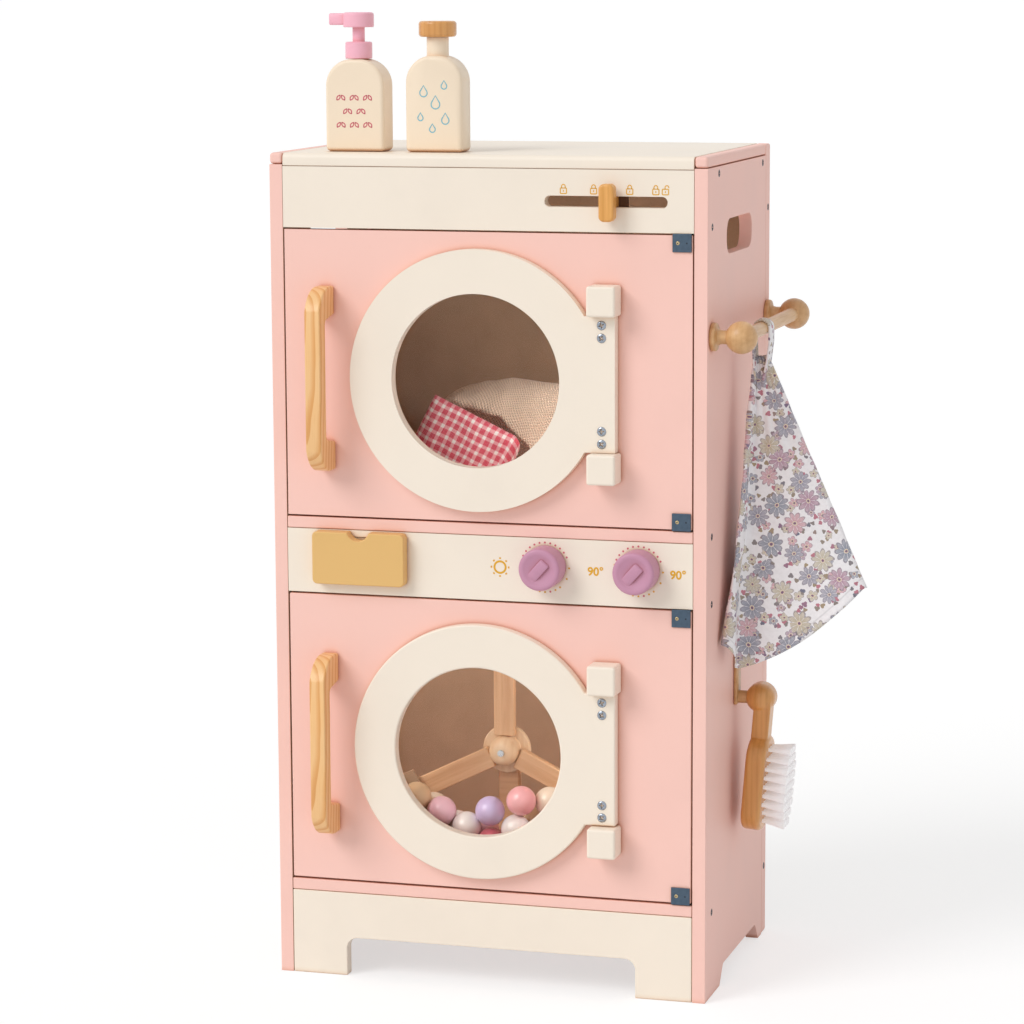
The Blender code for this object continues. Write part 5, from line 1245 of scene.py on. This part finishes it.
class WASHER_OT_paddle(bpy.types.Operator):
    """Build the three-armed paddle, its hub, axle screw and post"""
    bl_idname = "washer.paddle"
    bl_label = "Paddle"

    def execute(self, context):
        x, z = face_middle("paddle_hub")
        centre = (x, cabinet_box("paddle_hub")[0].y, z)
        profile = [(0.0021, 0.0)] + arc((0.0046, -0.009), 0.009, 90, 0, 9)
        profile += [(0.0136, -0.0172), (0.0142, -0.0178), (0.0215, -0.0178), (0.0225, -0.0188),
                    (0.0225, -0.0228), (0.0215, -0.0238), (0.0021, -0.0238), (0.0021, 0.0)]
        fit(turned("turned_hub", profile, "Y", centre, 64), "hub_beech", "paddle_hub")
        wide = 0.0195
        thick = 0.0078
        place = CORNER + Vector((centre[0], cabinet_box("paddle_arm_1")[0].y + thick / 2, centre[2]))
        for i, angle in enumerate((90, 206.5, 333.5)):
            node = "paddle_arm_%d" % (i + 1)
            arm = plain_board(node + "_board", (0.0140, -thick / 2, -wide / 2), (0.0995, thick / 2, wide / 2),
                              0.0012)
            middle = arm.location - CORNER
            turn = Matrix.Rotation(-radians(angle), 4, "Y")
            arm.matrix_basis = Matrix.Translation(place) @ turn @ Matrix.Translation(middle)
            fit(arm, "paddle_beech", node)
        head = screw_head("hub_screw", 0.0030, 0.0012, 0.0009)
        set_screw("hub_axle_screw", head, (centre[0], centre[1] - 0.0003, centre[2]), "Y", "paddle_axle",
                  turn=10)
        keep_node("paddle_axle", "zinc_plated_steel")
        keep_node("paddle_post", "paddle_beech")
        return {"FINISHED"}


# Balls as they lie in the tub, each touching its neighbours: shade, then place of the middle
LYING_BALLS = (
    ("beige_ball", (0.1211, 0.0353, 0.1636)), ("pink_ball", (0.1457, 0.0327, 0.1524)),
    ("white_ball", (0.1696, 0.0327, 0.1396)), ("lilac_ball", (0.1918, 0.0327, 0.1552)),
    ("pink_ball", (0.1799, 0.0563, 0.1288)), ("salmon_ball", (0.2213, 0.0327, 0.1664)),
    ("white_ball", (0.2161, 0.0327, 0.1398)), ("bone_ball", (0.2436, 0.0478, 0.1636)),
    ("beige_ball", (0.2292, 0.0563, 0.1423)), ("wine_ball", (0.1929, 0.0327, 0.1258)),
    ("white_ball", (0.1536, 0.0540, 0.1347)), ("wine_ball", (0.2070, 0.0558, 0.1268)),
    ("bone_ball", (0.1311, 0.0563, 0.1497)), ("pink_ball", (0.2439, 0.0327, 0.1410)),
)


class WASHER_OT_balls(bpy.types.Operator):
    """Lay the loose balls in their tub"""
    bl_idname = "washer.balls"
    bl_label = "Balls"

    def execute(self, context):
        for i, (kind, place) in enumerate(LYING_BALLS):
            name = "loose_ball_%d" % (i + 1)
            work = bmesh.new()
            bmesh.ops.create_icosphere(work, subdivisions=4, radius=sizes().ball / 2)
            ball = smooth(link(name, take_mesh(work, name), place), 0)
            fit(ball, kind, "play_balls")
        keep_node("ball_tray", "bare_hardboard")
        keep_node("tray_saddle", "bare_hardboard")
        return {"FINISHED"}


# Radius of the balls at the rail's ends, and of the rod between them
RAIL_BALL = 0.0143
RAIL_ROD = 0.0062


class WASHER_OT_rail(bpy.types.Operator):
    """Build the towel rail, turned from beech, on its two posts"""
    bl_idname = "washer.rail"
    bl_label = "Towel rail"

    def execute(self, context):
        low, high = cabinet_box("towel_rail")
        x = high.x - RAIL_BALL
        z = face_middle("towel_rail")[1]
        front = low.y + RAIL_BALL
        rear = high.y - RAIL_BALL
        profile = [(0, RAIL_BALL)] + arc((0, 0), RAIL_BALL, 85, -60, 29)
        profile += [(RAIL_ROD, -sqrt(RAIL_BALL ** 2 - RAIL_ROD ** 2)), (RAIL_ROD + 0.0004, -RAIL_BALL * 0.98),
                    (RAIL_ROD, -RAIL_BALL - 0.0012)]
        back = [(r, front - rear - h) for r, h in reversed(profile)]
        piece = turned("turned_rail", profile + back, "Y", (x, front, z), 56, 50)
        fit(piece, "beech_rod", "towel_rail")
        for end, y in (("front", front), ("rear", rear)):
            node = "rail_post_" + end
            low, high = cabinet_box(node)
            length = high.x - low.x
            profile = [(0, 0), (0.0122, 0), (0.0125, 0.0004), (0.0125, 0.0030)]
            profile += arc((0.0107, 0.0030), 0.0018, 15, 90, 5)
            profile += [(0.0082, 0.0052), (0.0068, 0.0066), (0.0061, 0.0090), (0.0061, length), (0, length)]
            fit(turned(node + "_turned", profile, "X", (low.x, y, z), 48), "beech_post", node)
        return {"FINISHED"}


def stadium(breadth, length, end_share, steps=20):
    """Oval outline with straight flanks."""
    half = breadth / 2
    end = half * end_share
    straight = length / 2 - end
    points = []
    for base, side in ((0, 1), (180, -1)):
        for i in range(steps + 1):
            angle = radians(base + 180 * i / steps)
            points.append((half * cos(angle), side * straight + end * sin(angle)))
    return points


class WASHER_OT_brush(bpy.types.Operator):
    """Build the brush: one turned and carved body, tufts of nylon, and the peg strip"""
    bl_idname = "washer.brush"
    bl_label = "Brush"

    def execute(self, context):
        x = 0.4236
        y = 0.1175
        z = 0.2555
        tilt = Matrix.Rotation(radians(4.8), 4, "Y")
        home = Matrix.Translation((x, y, z))
        work = bmesh.new()
        bmesh.ops.create_uvsphere(work, u_segments=48, v_segments=32, radius=0.0136)
        knob = link("brush_knob", take_mesh(work, "brush_knob"))
        knob.matrix_basis = home
        eye = cut_board("brush_eye", [circle((0, 0), 0.0136, 48)], 0.0004, 0.0094, "Y")
        eye.matrix_basis = home @ Matrix.Translation((0, 0.0049, 0))
        section = rectangle(-0.0078, 0.0078, -0.009, 0.009, 0.0012, 4)
        neck = cut_board("brush_neck", [section], -0.052, 0.0, "Z")
        neck.matrix_basis = home @ tilt @ Matrix.Translation((0.0035, 0, -0.026))
        block_middle = -0.0785
        block = cut_board("brush_block", [stadium(0.048, 0.088, 0.80)], -0.009, 0.009, "X")
        block.matrix_basis = home @ tilt @ Matrix.Translation((0.0042, 0, block_middle))
        block = applied(round_edges(block, 0.0034, 4))
        body = merge([knob, eye, neck, block], "brush_wood")
        remesh = body.modifiers.new("carved", "REMESH")
        remesh.mode = "VOXEL"
        remesh.voxel_size = 0.0007
        ease = body.modifiers.new("eased", "SMOOTH")
        ease.iterations = 2
        ease.factor = 0.5
        body.matrix_basis = Matrix.Translation(CORNER) @ body.matrix_basis
        body = applied(body)
        smooth(body, 0)
        fit(body, "oiled_beech", "brush_body")

        face = home @ tilt @ Matrix.Translation((0.0042 + 0.009, 0, block_middle))
        work = bmesh.new()
        pitch = 0.0083
        ridges = 9
        # Distance from the wood and radius of a tuft, and the number of tufts in each row
        sections = ((0, 0.0019), (0.0052, 0.0021), (0.0105, 0.0026), (0.0204, 0.0039), (0.0211, 0.0033))
        counts = (3, 4, 5, 5, 5, 5, 5, 4, 3)
        for i, columns in enumerate(counts):
            up = (i - (len(counts) - 1) / 2) * pitch
            for k in range(columns):
                across = (k - (columns - 1) / 2) * pitch * 0.98
                start = noise.cell(Vector((i * 3.1, k * 7.7, 0.5)))
                bundle = []
                for out, wide in sections:
                    spread = 1 + out * 0.04 / 0.021
                    ring = []
                    for q in range(2 * ridges):
                        a = pi * q / ridges + start
                        # Every second point stands in, so the flanks show the filaments as fine ribs
                        r = wide * (1 - 0.05 * (q % 2))
                        spot = (out, across * spread + r * cos(a), up * spread + r * sin(a))
                        ring.append(work.verts.new(spot))
                    bundle.append(ring)
                for lower, upper in zip(bundle, bundle[1:]):
                    for q in range(2 * ridges):
                        n = (q + 1) % (2 * ridges)
                        work.faces.new((lower[q], lower[n], upper[n], upper[q]))
                middle = work.verts.new((0.0208, across * 1.04, up * 1.04))
                for q in range(2 * ridges):
                    work.faces.new((bundle[-1][q], bundle[-1][(q + 1) % (2 * ridges)], middle))
        tufts = link("nylon_tufts", take_mesh(work, "nylon_tufts"))
        tufts.matrix_basis = Matrix.Translation(CORNER) @ face
        smooth(tufts, 50)
        fit(tufts, "nylon_filament", "brush_bristles")

        low, high = cabinet_box("peg_board")
        strip = plain_board("peg_strip", low, (low.x + 0.003, high.y, high.z), 0.0007, 2)
        length = high.x - low.x
        profile = [(0, 0), (0.0058, 0), (0.0058, length - 0.001), (0.0050, length), (0, length)]
        dowel = turned("peg_dowel", profile, "X", (low.x, y, z), 32)
        fit(smooth(merge([applied(strip), dowel], "peg_strip_and_dowel"), 35), "beech_post", "peg_board")
        return {"FINISHED"}


def leaf_strokes(x, z, length, angle):
    """A small leaf: two arcs that meet at both ends."""
    turn = Matrix.Rotation(radians(angle), 2)
    points = []
    for side in (1, -1):
        for i in range(7):
            t = i / 6 if side > 0 else 1 - i / 6
            spot = turn @ Vector((length * (t - 0.5), side * length * 0.26 * sin(pi * t)))
            points.append((x + spot.x, z + spot.y))
    return points


class WASHER_OT_bottles(bpy.types.Operator):
    """Build the two bottles with their pump, cap and small printed decoration"""
    bl_idname = "washer.bottles"
    bl_label = "Bottles"

    def execute(self, context):
        body_low, body_high = cabinet_box("pump_bottle_body")
        base = body_low.z
        front = body_low.y
        line_y = (front + body_high.y) / 2
        # Left, right and height of the two bodies
        widths = {"pump_bottle": (0.0439, 0.0985, 0.0814), "cap_bottle": (0.1188, 0.1710, 0.0846)}
        for label, (left, right, tall) in widths.items():
            outline = rounded([(left, base, 0.004), (right, base, 0.004), (right, base + tall, 0.0236),
                               (left, base + tall, 0.0236)], 14)
            body = round_edges(cut_board(label + "_shape", [outline], front, body_high.y, "Y"), 0.0036, 4)
            mid = (left + right) / 2
            if label == "cap_bottle":
                profile = [(0, -0.003), (0.0103, -0.003), (0.0098, 0.0012), (0.0098, 0.0159), (0, 0.0159)]
                neck = turned("cap_bottle_neck", profile, "Z", (mid, line_y, base + tall), 48)
                body = smooth(merge([applied(body), neck], "cap_bottle_shape"), 34)
            fit(body, "bottle_paint", label + "_body")
        low, high = cabinet_box("pump")
        mid = (widths["pump_bottle"][0] + widths["pump_bottle"][1]) / 2
        top = high.z - low.z
        profile = [(0, 0), (0.0117, 0), (0.0120, 0.0004), (0.0120, 0.0138), (0.0110, 0.0148),
                   (0.0060, 0.0148), (0.0055, 0.0153), (0.0055, top - 0.0135), (0.0060, top - 0.0131),
                   (0.0131, top - 0.0131), (0.0137, top - 0.0125), (0.0137, top - 0.0024)]
        profile += arc((0.0113, top - 0.0024), 0.0024, 15, 90, 5) + [(0, top)]
        body = turned("pump_turned", profile, "Z", (mid, line_y, low.z), 56)
        spout = plain_board("pump_spout", (low.x, line_y - 0.00425, high.z - 0.0112),
                            (mid, line_y + 0.00425, high.z - 0.0008), 0.0016, 3)
        piece = merge([body, applied(spout)], "pump_head")
        fit(smooth(piece, 34), "rose_paint", "pump")
        low, high = cabinet_box("bottle_cap")
        tall = high.z - low.z
        ease = 0.0028
        profile = [(0, 0)] + arc((0.0140, ease), ease, -90, 0, 6)
        profile += arc((0.0140, tall - ease), ease, 0, 90, 6) + [(0, tall)]
        place = ((low.x + high.x) / 2, (low.y + high.y) / 2, low.z)
        fit(turned("turned_cap", profile, "Z", place, 56), "oiled_beech", "bottle_cap")

        line = sizes().mark
        left, right, tall = widths["pump_bottle"]
        mid = (left + right) / 2
        sprays = []
        for row, rise in enumerate((0.0235, 0.0355, 0.0475)):
            for k in range(3 - row % 2):
                x = mid + (k - (2 - row % 2) / 2) * 0.0125
                sprays.append(leaf_strokes(x - 0.0022, base + rise, 0.0052, 55))
                sprays.append(leaf_strokes(x + 0.0022, base + rise, 0.0052, 125))
        strokes = [points + [points[0]] for points in sprays]
        fit(ribbon("leaf_print", strokes, line, front), "rose_ink", "pump_bottle_body", stands_in=False)
        left, right, tall = widths["cap_bottle"]
        mid = (left + right) / 2
        drops = []
        for x, z, size in ((-0.009, 0.052, 0.0034), (0.010, 0.058, 0.0026), (0.002, 0.042, 0.0040),
                           (-0.012, 0.030, 0.0024), (0.011, 0.028, 0.0034), (-0.001, 0.020, 0.0026)):
            shape = [(mid + x, base + z + size * 1.9)]
            shape += [(mid + x + u, base + z + v) for u, v in arc((0, 0), size, 35, -215, 16)]
            drops.append(shape + [shape[0]])
        fit(ribbon("drop_print", drops, line, front), "blue_ink", "cap_bottle_body", stands_in=False)
        return {"FINISHED"}


# Folds of the towel in order: degrees to the right, degrees back, length of the ray
TOWEL_FOLDS = (
    (12.0, 8.0, 0.235), (18.0, 6.5, 0.238), (22.7, 3.2, 0.246), (23.9, 1.4, 0.250), (23.0, -0.4, 0.250),
    (17.0, -3.2, 0.263), (10.0, -5.0, 0.280), (3.5, -6.0, 0.294), (-1.6, -6.2, 0.303), (-1.7, -9.0, 0.297),
    (-1.7, -11.2, 0.290), (-2.6, -12.6, 0.284), (-3.5, -11.4, 0.280), (-3.6, -5.0, 0.262), (-3.6, 2.0, 0.245),
    (-3.4, 7.5, 0.235), (1.5, 11.5, 0.230), (8.0, 13.0, 0.228),
)


def ray(across, back):
    """Unit vector down from the rail, swung by degrees to the right and to the back."""
    x = sin(radians(across))
    y = sin(radians(back))
    return Vector((x, y, -sqrt(1 - x * x - y * y)))


def eased(table, t):
    """A smooth curve through the rows of a table, t from 0 to 1."""
    span = t * (len(table) - 1)
    i = min(int(span), len(table) - 2)
    f = span - i
    a = table[max(i - 1, 0)]
    b = table[i]
    c = table[i + 1]
    d = table[min(i + 2, len(table) - 1)]
    return [0.5 * (2 * q + (r - p) * f + (2 * p - 5 * q + 4 * r - s) * f * f
                   + (3 * q - p - 3 * r + s) * f ** 3) for p, q, r, s in zip(a, b, c, d)]


def cloth_from_grid(name, rows, flat, hem=None, thickness=0.0009):
    """A sheet from rows of points, with its flat layout in metres as UV, given a thickness."""
    work = bmesh.new()
    layout = work.loops.layers.uv.new("cut")
    edge = work.verts.layers.float.new("hem")
    verts = [[work.verts.new(point) for point in row] for row in rows]
    if hem:
        for row, values in zip(verts, hem):
            for vert, value in zip(row, values):
                vert[edge] = value
    for i in range(len(rows) - 1):
        for k in range(len(rows[0]) - 1):
            corners = ((i, k), (i, k + 1), (i + 1, k + 1), (i + 1, k))
            face = work.faces.new([verts[a][b] for a, b in corners])
            face.smooth = True
            for loop, (a, b) in zip(face.loops, corners):
                loop[layout].uv = flat[a][b]
    mesh = bpy.data.meshes.new(name)
    work.to_mesh(mesh)
    work.free()
    piece = link(name, mesh)
    thick = piece.modifiers.new("cloth", "SOLIDIFY")
    thick.thickness = thickness
    thick.offset = 0
    return piece


class WASHER_OT_towel(bpy.types.Operator):
    """Hang the printed towel by its corner loop"""
    bl_idname = "washer.towel"
    bl_label = "Towel"

    def execute(self, context):
        middle = 0.1050
        apex = Vector((0.4213, middle, 0.5880))
        columns = 200
        rays = 70
        sections = [eased(TOWEL_FOLDS, i / columns) for i in range(columns + 1)]
        # The folds take up a little of the cloth's length
        sections = [(a, b, reach * 0.987) for a, b, reach in sections]
        ways = [ray(a, b) for a, b, _ in sections]
        turned_by = [0.0]
        for first, second in zip(ways, ways[1:]):
            turned_by.append(turned_by[-1] + first.angle(second, 0))
        rows = []
        flat = []
        hems = []
        for j in range(rays + 1):
            row = []
            places = []
            edge = []
            for i, (way, section) in enumerate(zip(ways, sections)):
                reach = 0.020 + (section[2] - 0.020) * j / rays
                along = (ways[min(i + 1, columns)] - ways[max(i - 1, 0)]).normalized()
                out = along.cross(way).normalized()
                phase = turned_by[i]
                gather = 0.0011 * sin(phase * 60) * max(0, 1 - reach / 0.16)
                drape = noise.noise(Vector((phase * 5.5, reach * 13, 1.7))) * 0.0034 * min(1, reach / 0.12)
                fine = noise.noise(Vector((phase * 16, reach * 42, 4.2))) * 0.0008
                hem_curl = 0.0012 * sin(phase * 22 + 1.0) * max(0, (j / rays - 0.75) * 4)
                row.append(apex + way * reach + out * (gather + drape + fine + hem_curl))
                places.append((reach * cos(phase), reach * sin(phase)))
                edge.append((section[2] - reach) * 0.92)
            rows.append(row)
            flat.append(places)
            hems.append(edge)
        towel = cloth_from_grid("hung_towel", rows, flat, hems, sizes().towel)
        fit(towel, "printed_cotton", "towel")

        # The loop: up behind the rail, over it and down at the front
        x = cabinet_box("towel_rail")[1].x - RAIL_BALL
        z = face_middle("towel_rail")[1]
        band = 0.0185
        path = [(x - 0.0052, z - 0.046), (x - 0.0068, z - 0.030), (x - 0.0076, z - 0.012)]
        path += arc((x, z), 0.0072, 180, 0, 15)
        path += [(x + 0.0072, z - 0.012), (x + 0.0050, z - 0.030), (x + 0.0016, z - 0.046)]
        path = [Vector((u, 0, v)) for u, v in path]
        rows = []
        flat = []
        gone = 0.0
        for i, spot in enumerate(path):
            if i:
                gone += (spot - path[i - 1]).length
            row = []
            places = []
            for k in range(9):
                t = k / 8 - 0.5
                cup = 0.0010 * cos(t * pi)
                outward = (spot - Vector((x, 0, z - 0.01))).normalized()
                row.append(spot + outward * cup + Vector((0, middle + t * band, 0)))
                places.append((gone + 0.31, t * band + 0.02))
            rows.append(row)
            flat.append(places)
        loop = cloth_from_grid("towel_loop_band", rows, flat, None, 0.0016)
        fit(loop, "printed_cotton", "towel")
        return {"FINISHED"}


def along(table, x):
    """Straight interpolation in a table of (x, value) rows."""
    for (x0, a), (x1, b) in zip(table, table[1:]):
        if x <= x1:
            return a + (b - a) * max(0, (x - x0) / (x1 - x0))
    return table[-1][1]


def leaning_fold(name, corner, slope, long, thick, thickness):
    """A towel folded flat, standing on its edge: two faces joined by a fold along the sloping top."""
    floor = cabinet_box("upper_deck")[1].z + 0.0010
    down = Vector((-slope.y, slope.x)) * -1
    rows = []
    flat = []
    columns = 110
    steps = 90
    for i in range(columns + 1):
        s = i / columns
        head = corner + slope * (long * s)
        # The right end is rounded off where the fold turns under
        end = max(0, s - 0.88) / 0.12
        head = head + down * (0.011 * (1 - sqrt(max(0, 1 - end * end))))
        half = thick / 2 * sqrt(max(0.02, 1 - abs(2 * s - 1) ** 10))
        straight = 0.048
        knee = head + down * straight
        length = straight + max(0, knee.y - floor)
        row = []
        places = []
        for k in range(steps + 1):
            t = k / steps
            away = abs(2 * t - 1)
            d = length * max(0, away - 0.04) / 0.96
            spot = head + down * min(d, straight) - Vector((0, max(0, d - straight)))
            bow = sqrt(max(0, 1 - (1 - min(1, d / (half * 1.6))) ** 2)) if half else 0
            face = -1 if t < 0.5 else 1
            ripple = noise.noise(Vector((s * 5.5, d * 34, 2.3))) * 0.0026
            waver = noise.noise(Vector((s * 3, d * 20, 9.1)))
            pleat = sin(s * 46 + 2.5 * waver) * 0.0010 * max(0, s - 0.55) / 0.45
            lean = 0.16 * max(0, 0.070 - d)
            y = 0.0400 + lean + face * half * bow + (ripple + pleat) * bow
            row.append(Vector((spot.x, y, max(floor, spot.y))))
            places.append((long * s, d * -face))
        rows.append(row)
        flat.append(places)
    return cloth_from_grid(name, rows, flat, None, thickness)


# Top line and front hem line of the waffle cloth: distance from the left side, then height
WAFFLE_TOP = ((0.121, 0.515), (0.130, 0.5245), (0.1379, 0.5291), (0.1639, 0.5363), (0.1878, 0.5398),
              (0.2087, 0.5385), (0.2325, 0.5355), (0.262, 0.529), (0.289, 0.505))
WAFFLE_HEM = ((0.121, 0.506), (0.145, 0.5207), (0.165, 0.5170), (0.189, 0.5080), (0.1965, 0.4995),
              (0.2165, 0.4830), (0.232, 0.4560), (0.250, 0.4330), (0.289, 0.4290))


def heaped_fold(name, thickness):
    """A cloth thrown in a heap: it rises from the back, rolls over the top and tucks under at the front."""
    floor = cabinet_box("upper_deck")[1].z + 0.0014
    spin = Matrix.Rotation(radians(24), 2)
    rows = []
    flat = []
    columns = 130
    steps = 120
    for i in range(columns + 1):
        x = 0.1225 + (0.2890 - 0.1225) * i / columns
        top = along(WAFFLE_TOP, x)
        hem = along(WAFFLE_HEM, x)
        drop = top - hem
        # Depth and height of the way that the cloth takes, from the deck behind to the deck in front
        section = ((0.170, floor), (0.168, floor + (top - floor) * 0.55), (0.156, top - 0.020),
                   (0.138, top - 0.004), (0.120, top), (0.103, top - 0.10 * drop - 0.002),
                   (0.091, top - 0.45 * drop), (0.084, hem + 0.005), (0.086, hem), (0.096, hem + 0.003),
                   (0.112, hem + 0.001), (0.124, floor + (hem - floor) * 0.5), (0.132, floor))
        row = []
        places = []
        gone = 0.0
        before = None
        for k in range(steps + 1):
            y, z = eased(section, k / steps)
            spot = Vector((x, y, z))
            if before is not None:
                gone += (spot - before).length
            before = spot
            bend = noise.noise(Vector((x * 30 + 7.9, gone * 24, 7.9))) * 0.0042
            crease = abs(noise.noise(Vector((x * 30 + gone * 20, gone * 16 + 3, 5.8)))) * 0.0050
            free = min(1, (spot.z - floor) / 0.02)
            lifted = z + (bend * 0.5 - crease * 0.4) * free
            row.append(Vector((x, y + (bend - crease) * free, max(floor, lifted))))
            uv = spin @ Vector((x, gone))
            places.append((uv.x, uv.y))
        rows.append(row)
        flat.append(places)
    return cloth_from_grid(name, rows, flat, None, thickness)


class WASHER_OT_cloths(bpy.types.Operator):
    """Lay the gingham and the waffle cloth in the upper compartment"""
    bl_idname = "washer.cloths"
    bl_label = "Cloths inside"

    def execute(self, context):
        piece = leaning_fold("gingham_fold", Vector((0.1372, 0.5317)), Vector((0.9042, -0.4272)), 0.0905,
                             0.013, 0.0008)
        fit(piece, "gingham_cotton", "gingham_cloth")

        piece = heaped_fold("waffle_fold", 0.0016)
        fit(piece, "waffle_cotton", "waffle_cloth")
        return {"FINISHED"}


class WASHER_OT_screws(bpy.types.Operator):
    """Set the assembly screws in the side boards"""
    bl_idname = "washer.screws"
    bl_label = "Side screws"

    def execute(self, context):
        head = screw_head("side_screw", 0.0032, 0.0003, 0.0012)
        places = ((0.0425, 0.734), (0.221, 0.734), (0.0174, 0.689), (0.2450, 0.692), (0.0197, 0.4176),
                  (0.0204, 0.3573), (0.0247, 0.0775), (0.2443, 0.065))
        for side in ("left", "right"):
            low, high = cabinet_box(side + "_side")
            for i, (y, z) in enumerate(places):
                x = high.x if side == "right" else low.x
                board = side + ("_stile" if y > high.y else "_side")
                piece = set_screw("%s_screw_%d" % (side, i + 1), head, (x, y, z), "X", board,
                                  "blackened_steel", 15 + 31 * i)
                if side == "left":
                    piece.matrix_basis = piece.matrix_basis @ Matrix.Rotation(pi, 4, "X")
        return {"FINISHED"}


def seen_rays(add):
    """One for rays on their way to the eye, straight, mirrored or through a pane, and nothing for others."""
    rays = add("LightPath")
    bent = add("Math", (rays.outputs["Is Glossy Ray"], rays.outputs["Is Transmission Ray"]), 0,
         operation="MAXIMUM")
    return add("Math", (rays.outputs["Is Camera Ray"], bent), 0, operation="MAXIMUM")


class WASHER_OT_stage(bpy.types.Operator):
    """Build the pale floor, the soft lamps and the camera"""
    bl_idname = "washer.stage"
    bl_label = "Stage"

    def execute(self, context):
        scene = context.scene
        scene.view_settings.view_transform = "Standard"
        world = bpy.data.worlds.new("soft_room")
        scene.world = world
        world.use_nodes = True
        world.node_tree.nodes.clear()
        add = partial(add_node, world.node_tree)
        strength = add("MapRange", {"Value": seen_rays(add), "To Min": 0.59, "To Max": 1.0},
                 "Result")
        room = add("Background", {"Color": WHITE, "Strength": strength}, "Background")
        add("OutputWorld", {"Surface": room})

        work = bmesh.new()
        bmesh.ops.create_grid(work, x_segments=8, y_segments=8, size=400)
        floor = link("studio_floor", take_mesh(work, "studio_floor"))
        floor.location = (0, 6, 0)
        material, add = empty_material("painted_studio_floor")
        seen = seen_rays(add)
        # The object sees a white floor; the camera sees the same floor glow, so its shadows stay pale
        tone = add("MapRange", {"Value": seen, "To Min": 0.89, "To Max": 0.5}, "Result")
        paint = add("BsdfDiffuse", {"Color": tone}, "BSDF")
        power = add("Math", (seen, 0.58), 0, operation="MULTIPLY")
        glow = add("Emission", {"Color": WHITE, "Strength": power}, "Emission")
        both = add("AddShader", (paint, glow), 0)
        add("OutputMaterial", {"Surface": both})
        floor.data.materials.append(material)

        # Daylight from one large window on the upper left
        lamp = bpy.data.lights.new("left_window", "SUN")
        lamp.energy = 1.36
        lamp.angle = radians(32)
        item = link("left_window", lamp)
        item.rotation_mode = "QUATERNION"
        item.rotation_quaternion = Vector((-0.50, -0.62, 0.61)).to_track_quat("Z", "Y")

        # Daylight that comes in by the windows and hand holes, as three faint panels at the side walls
        off = 0.014
        left_wall = cabinet_box("left_side")[1].x + off
        right_wall = cabinet_box("right_side")[0].x - off
        glows = (("upper_right", (right_wall, 0.030, 0.580), (-0.80, 0.45, -0.38), 0.18),
                 ("lower_left", (left_wall, 0.026, 0.270), (0.75, 0.62, -0.05), 0.16),
                 ("lower_right", (right_wall, 0.026, 0.270), (-0.75, 0.62, -0.05), 0.16))
        for label, place, way, power in glows:
            lamp = bpy.data.lights.new(label + "_glow", "AREA")
            lamp.energy = power
            lamp.size = 0.02
            item = link(label + "_glow", lamp, place)
            item.rotation_mode = "QUATERNION"
            item.rotation_quaternion = Vector(way).to_track_quat("-Z", "Y")
            item.visible_camera = False
            item.visible_glossy = False
            item.visible_transmission = False

        pitch = radians(8.79)
        yaw = radians(16.38)
        roll = radians(-0.28)
        flat_right = Vector((cos(yaw), sin(yaw), 0))
        ahead = Vector((-sin(yaw), cos(yaw), 0))
        up = Vector((0, 0, 1))
        look = ahead * cos(pitch) - up * sin(pitch)
        tall = ahead * sin(pitch) + up * cos(pitch)
        right = flat_right * cos(roll) + tall * sin(roll)
        above = tall * cos(roll) - flat_right * sin(roll)
        camera = bpy.data.cameras.new("studio_camera")
        camera.sensor_width = 36
        camera.lens = 3446 / 1024 * 36
        camera.clip_start = 0.1
        camera.clip_end = 1000
        eye = link("studio_camera", camera)
        turn = Matrix((right, above, -look)).transposed().to_4x4()
        eye.matrix_basis = Matrix.Translation((0.8121, -2.9964, 0.90158)) @ turn
        scene.camera = eye
        return {"FINISHED"}


class WASHER_PT_panel(bpy.types.Panel):
    """Lists the pieces and the settings of the toy washing machine"""
    bl_idname = "WASHER_PT_panel"
    bl_label = "Toy washing machine"
    bl_space_type = "VIEW_3D"
    bl_region_type = "UI"
    bl_category = "Washer"

    def draw(self, context):
        layout = self.layout
        for group in (context.scene.washer_paints, context.scene.washer_makings, context.scene.washer_sizes):
            box = layout.box()
            for name in group.__annotations__:
                box.prop(group, name)
        column = layout.column()
        for step in STEPS:
            column.operator(step.bl_idname)


STEPS = (WASHER_OT_sides, WASHER_OT_boards, WASHER_OT_doors, WASHER_OT_handles, WASHER_OT_hinges,
         WASHER_OT_lever, WASHER_OT_drawer, WASHER_OT_dials, WASHER_OT_marks, WASHER_OT_paddle,
         WASHER_OT_balls, WASHER_OT_rail, WASHER_OT_brush, WASHER_OT_bottles, WASHER_OT_towel,
         WASHER_OT_cloths, WASHER_OT_screws, WASHER_OT_stage)
GROUPS = (WasherPaints, WasherMakings, WasherSizes)


def register():
    for kind in GROUPS + STEPS + (WASHER_PT_panel,):
        bpy.utils.register_class(kind)
    bpy.types.Scene.washer_paints = PointerProperty(type=WasherPaints)
    bpy.types.Scene.washer_makings = PointerProperty(type=WasherMakings)
    bpy.types.Scene.washer_sizes = PointerProperty(type=WasherSizes)


def unregister():
    del bpy.types.Scene.washer_sizes
    del bpy.types.Scene.washer_makings
    del bpy.types.Scene.washer_paints
    for kind in reversed(GROUPS + STEPS + (WASHER_PT_panel,)):
        bpy.utils.unregister_class(kind)


def main():
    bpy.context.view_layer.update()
    register()
    for step in STEPS:
        group, name = step.bl_idname.split(".")
        getattr(getattr(bpy.ops, group), name)()


if __name__ == "__main__":
    main()
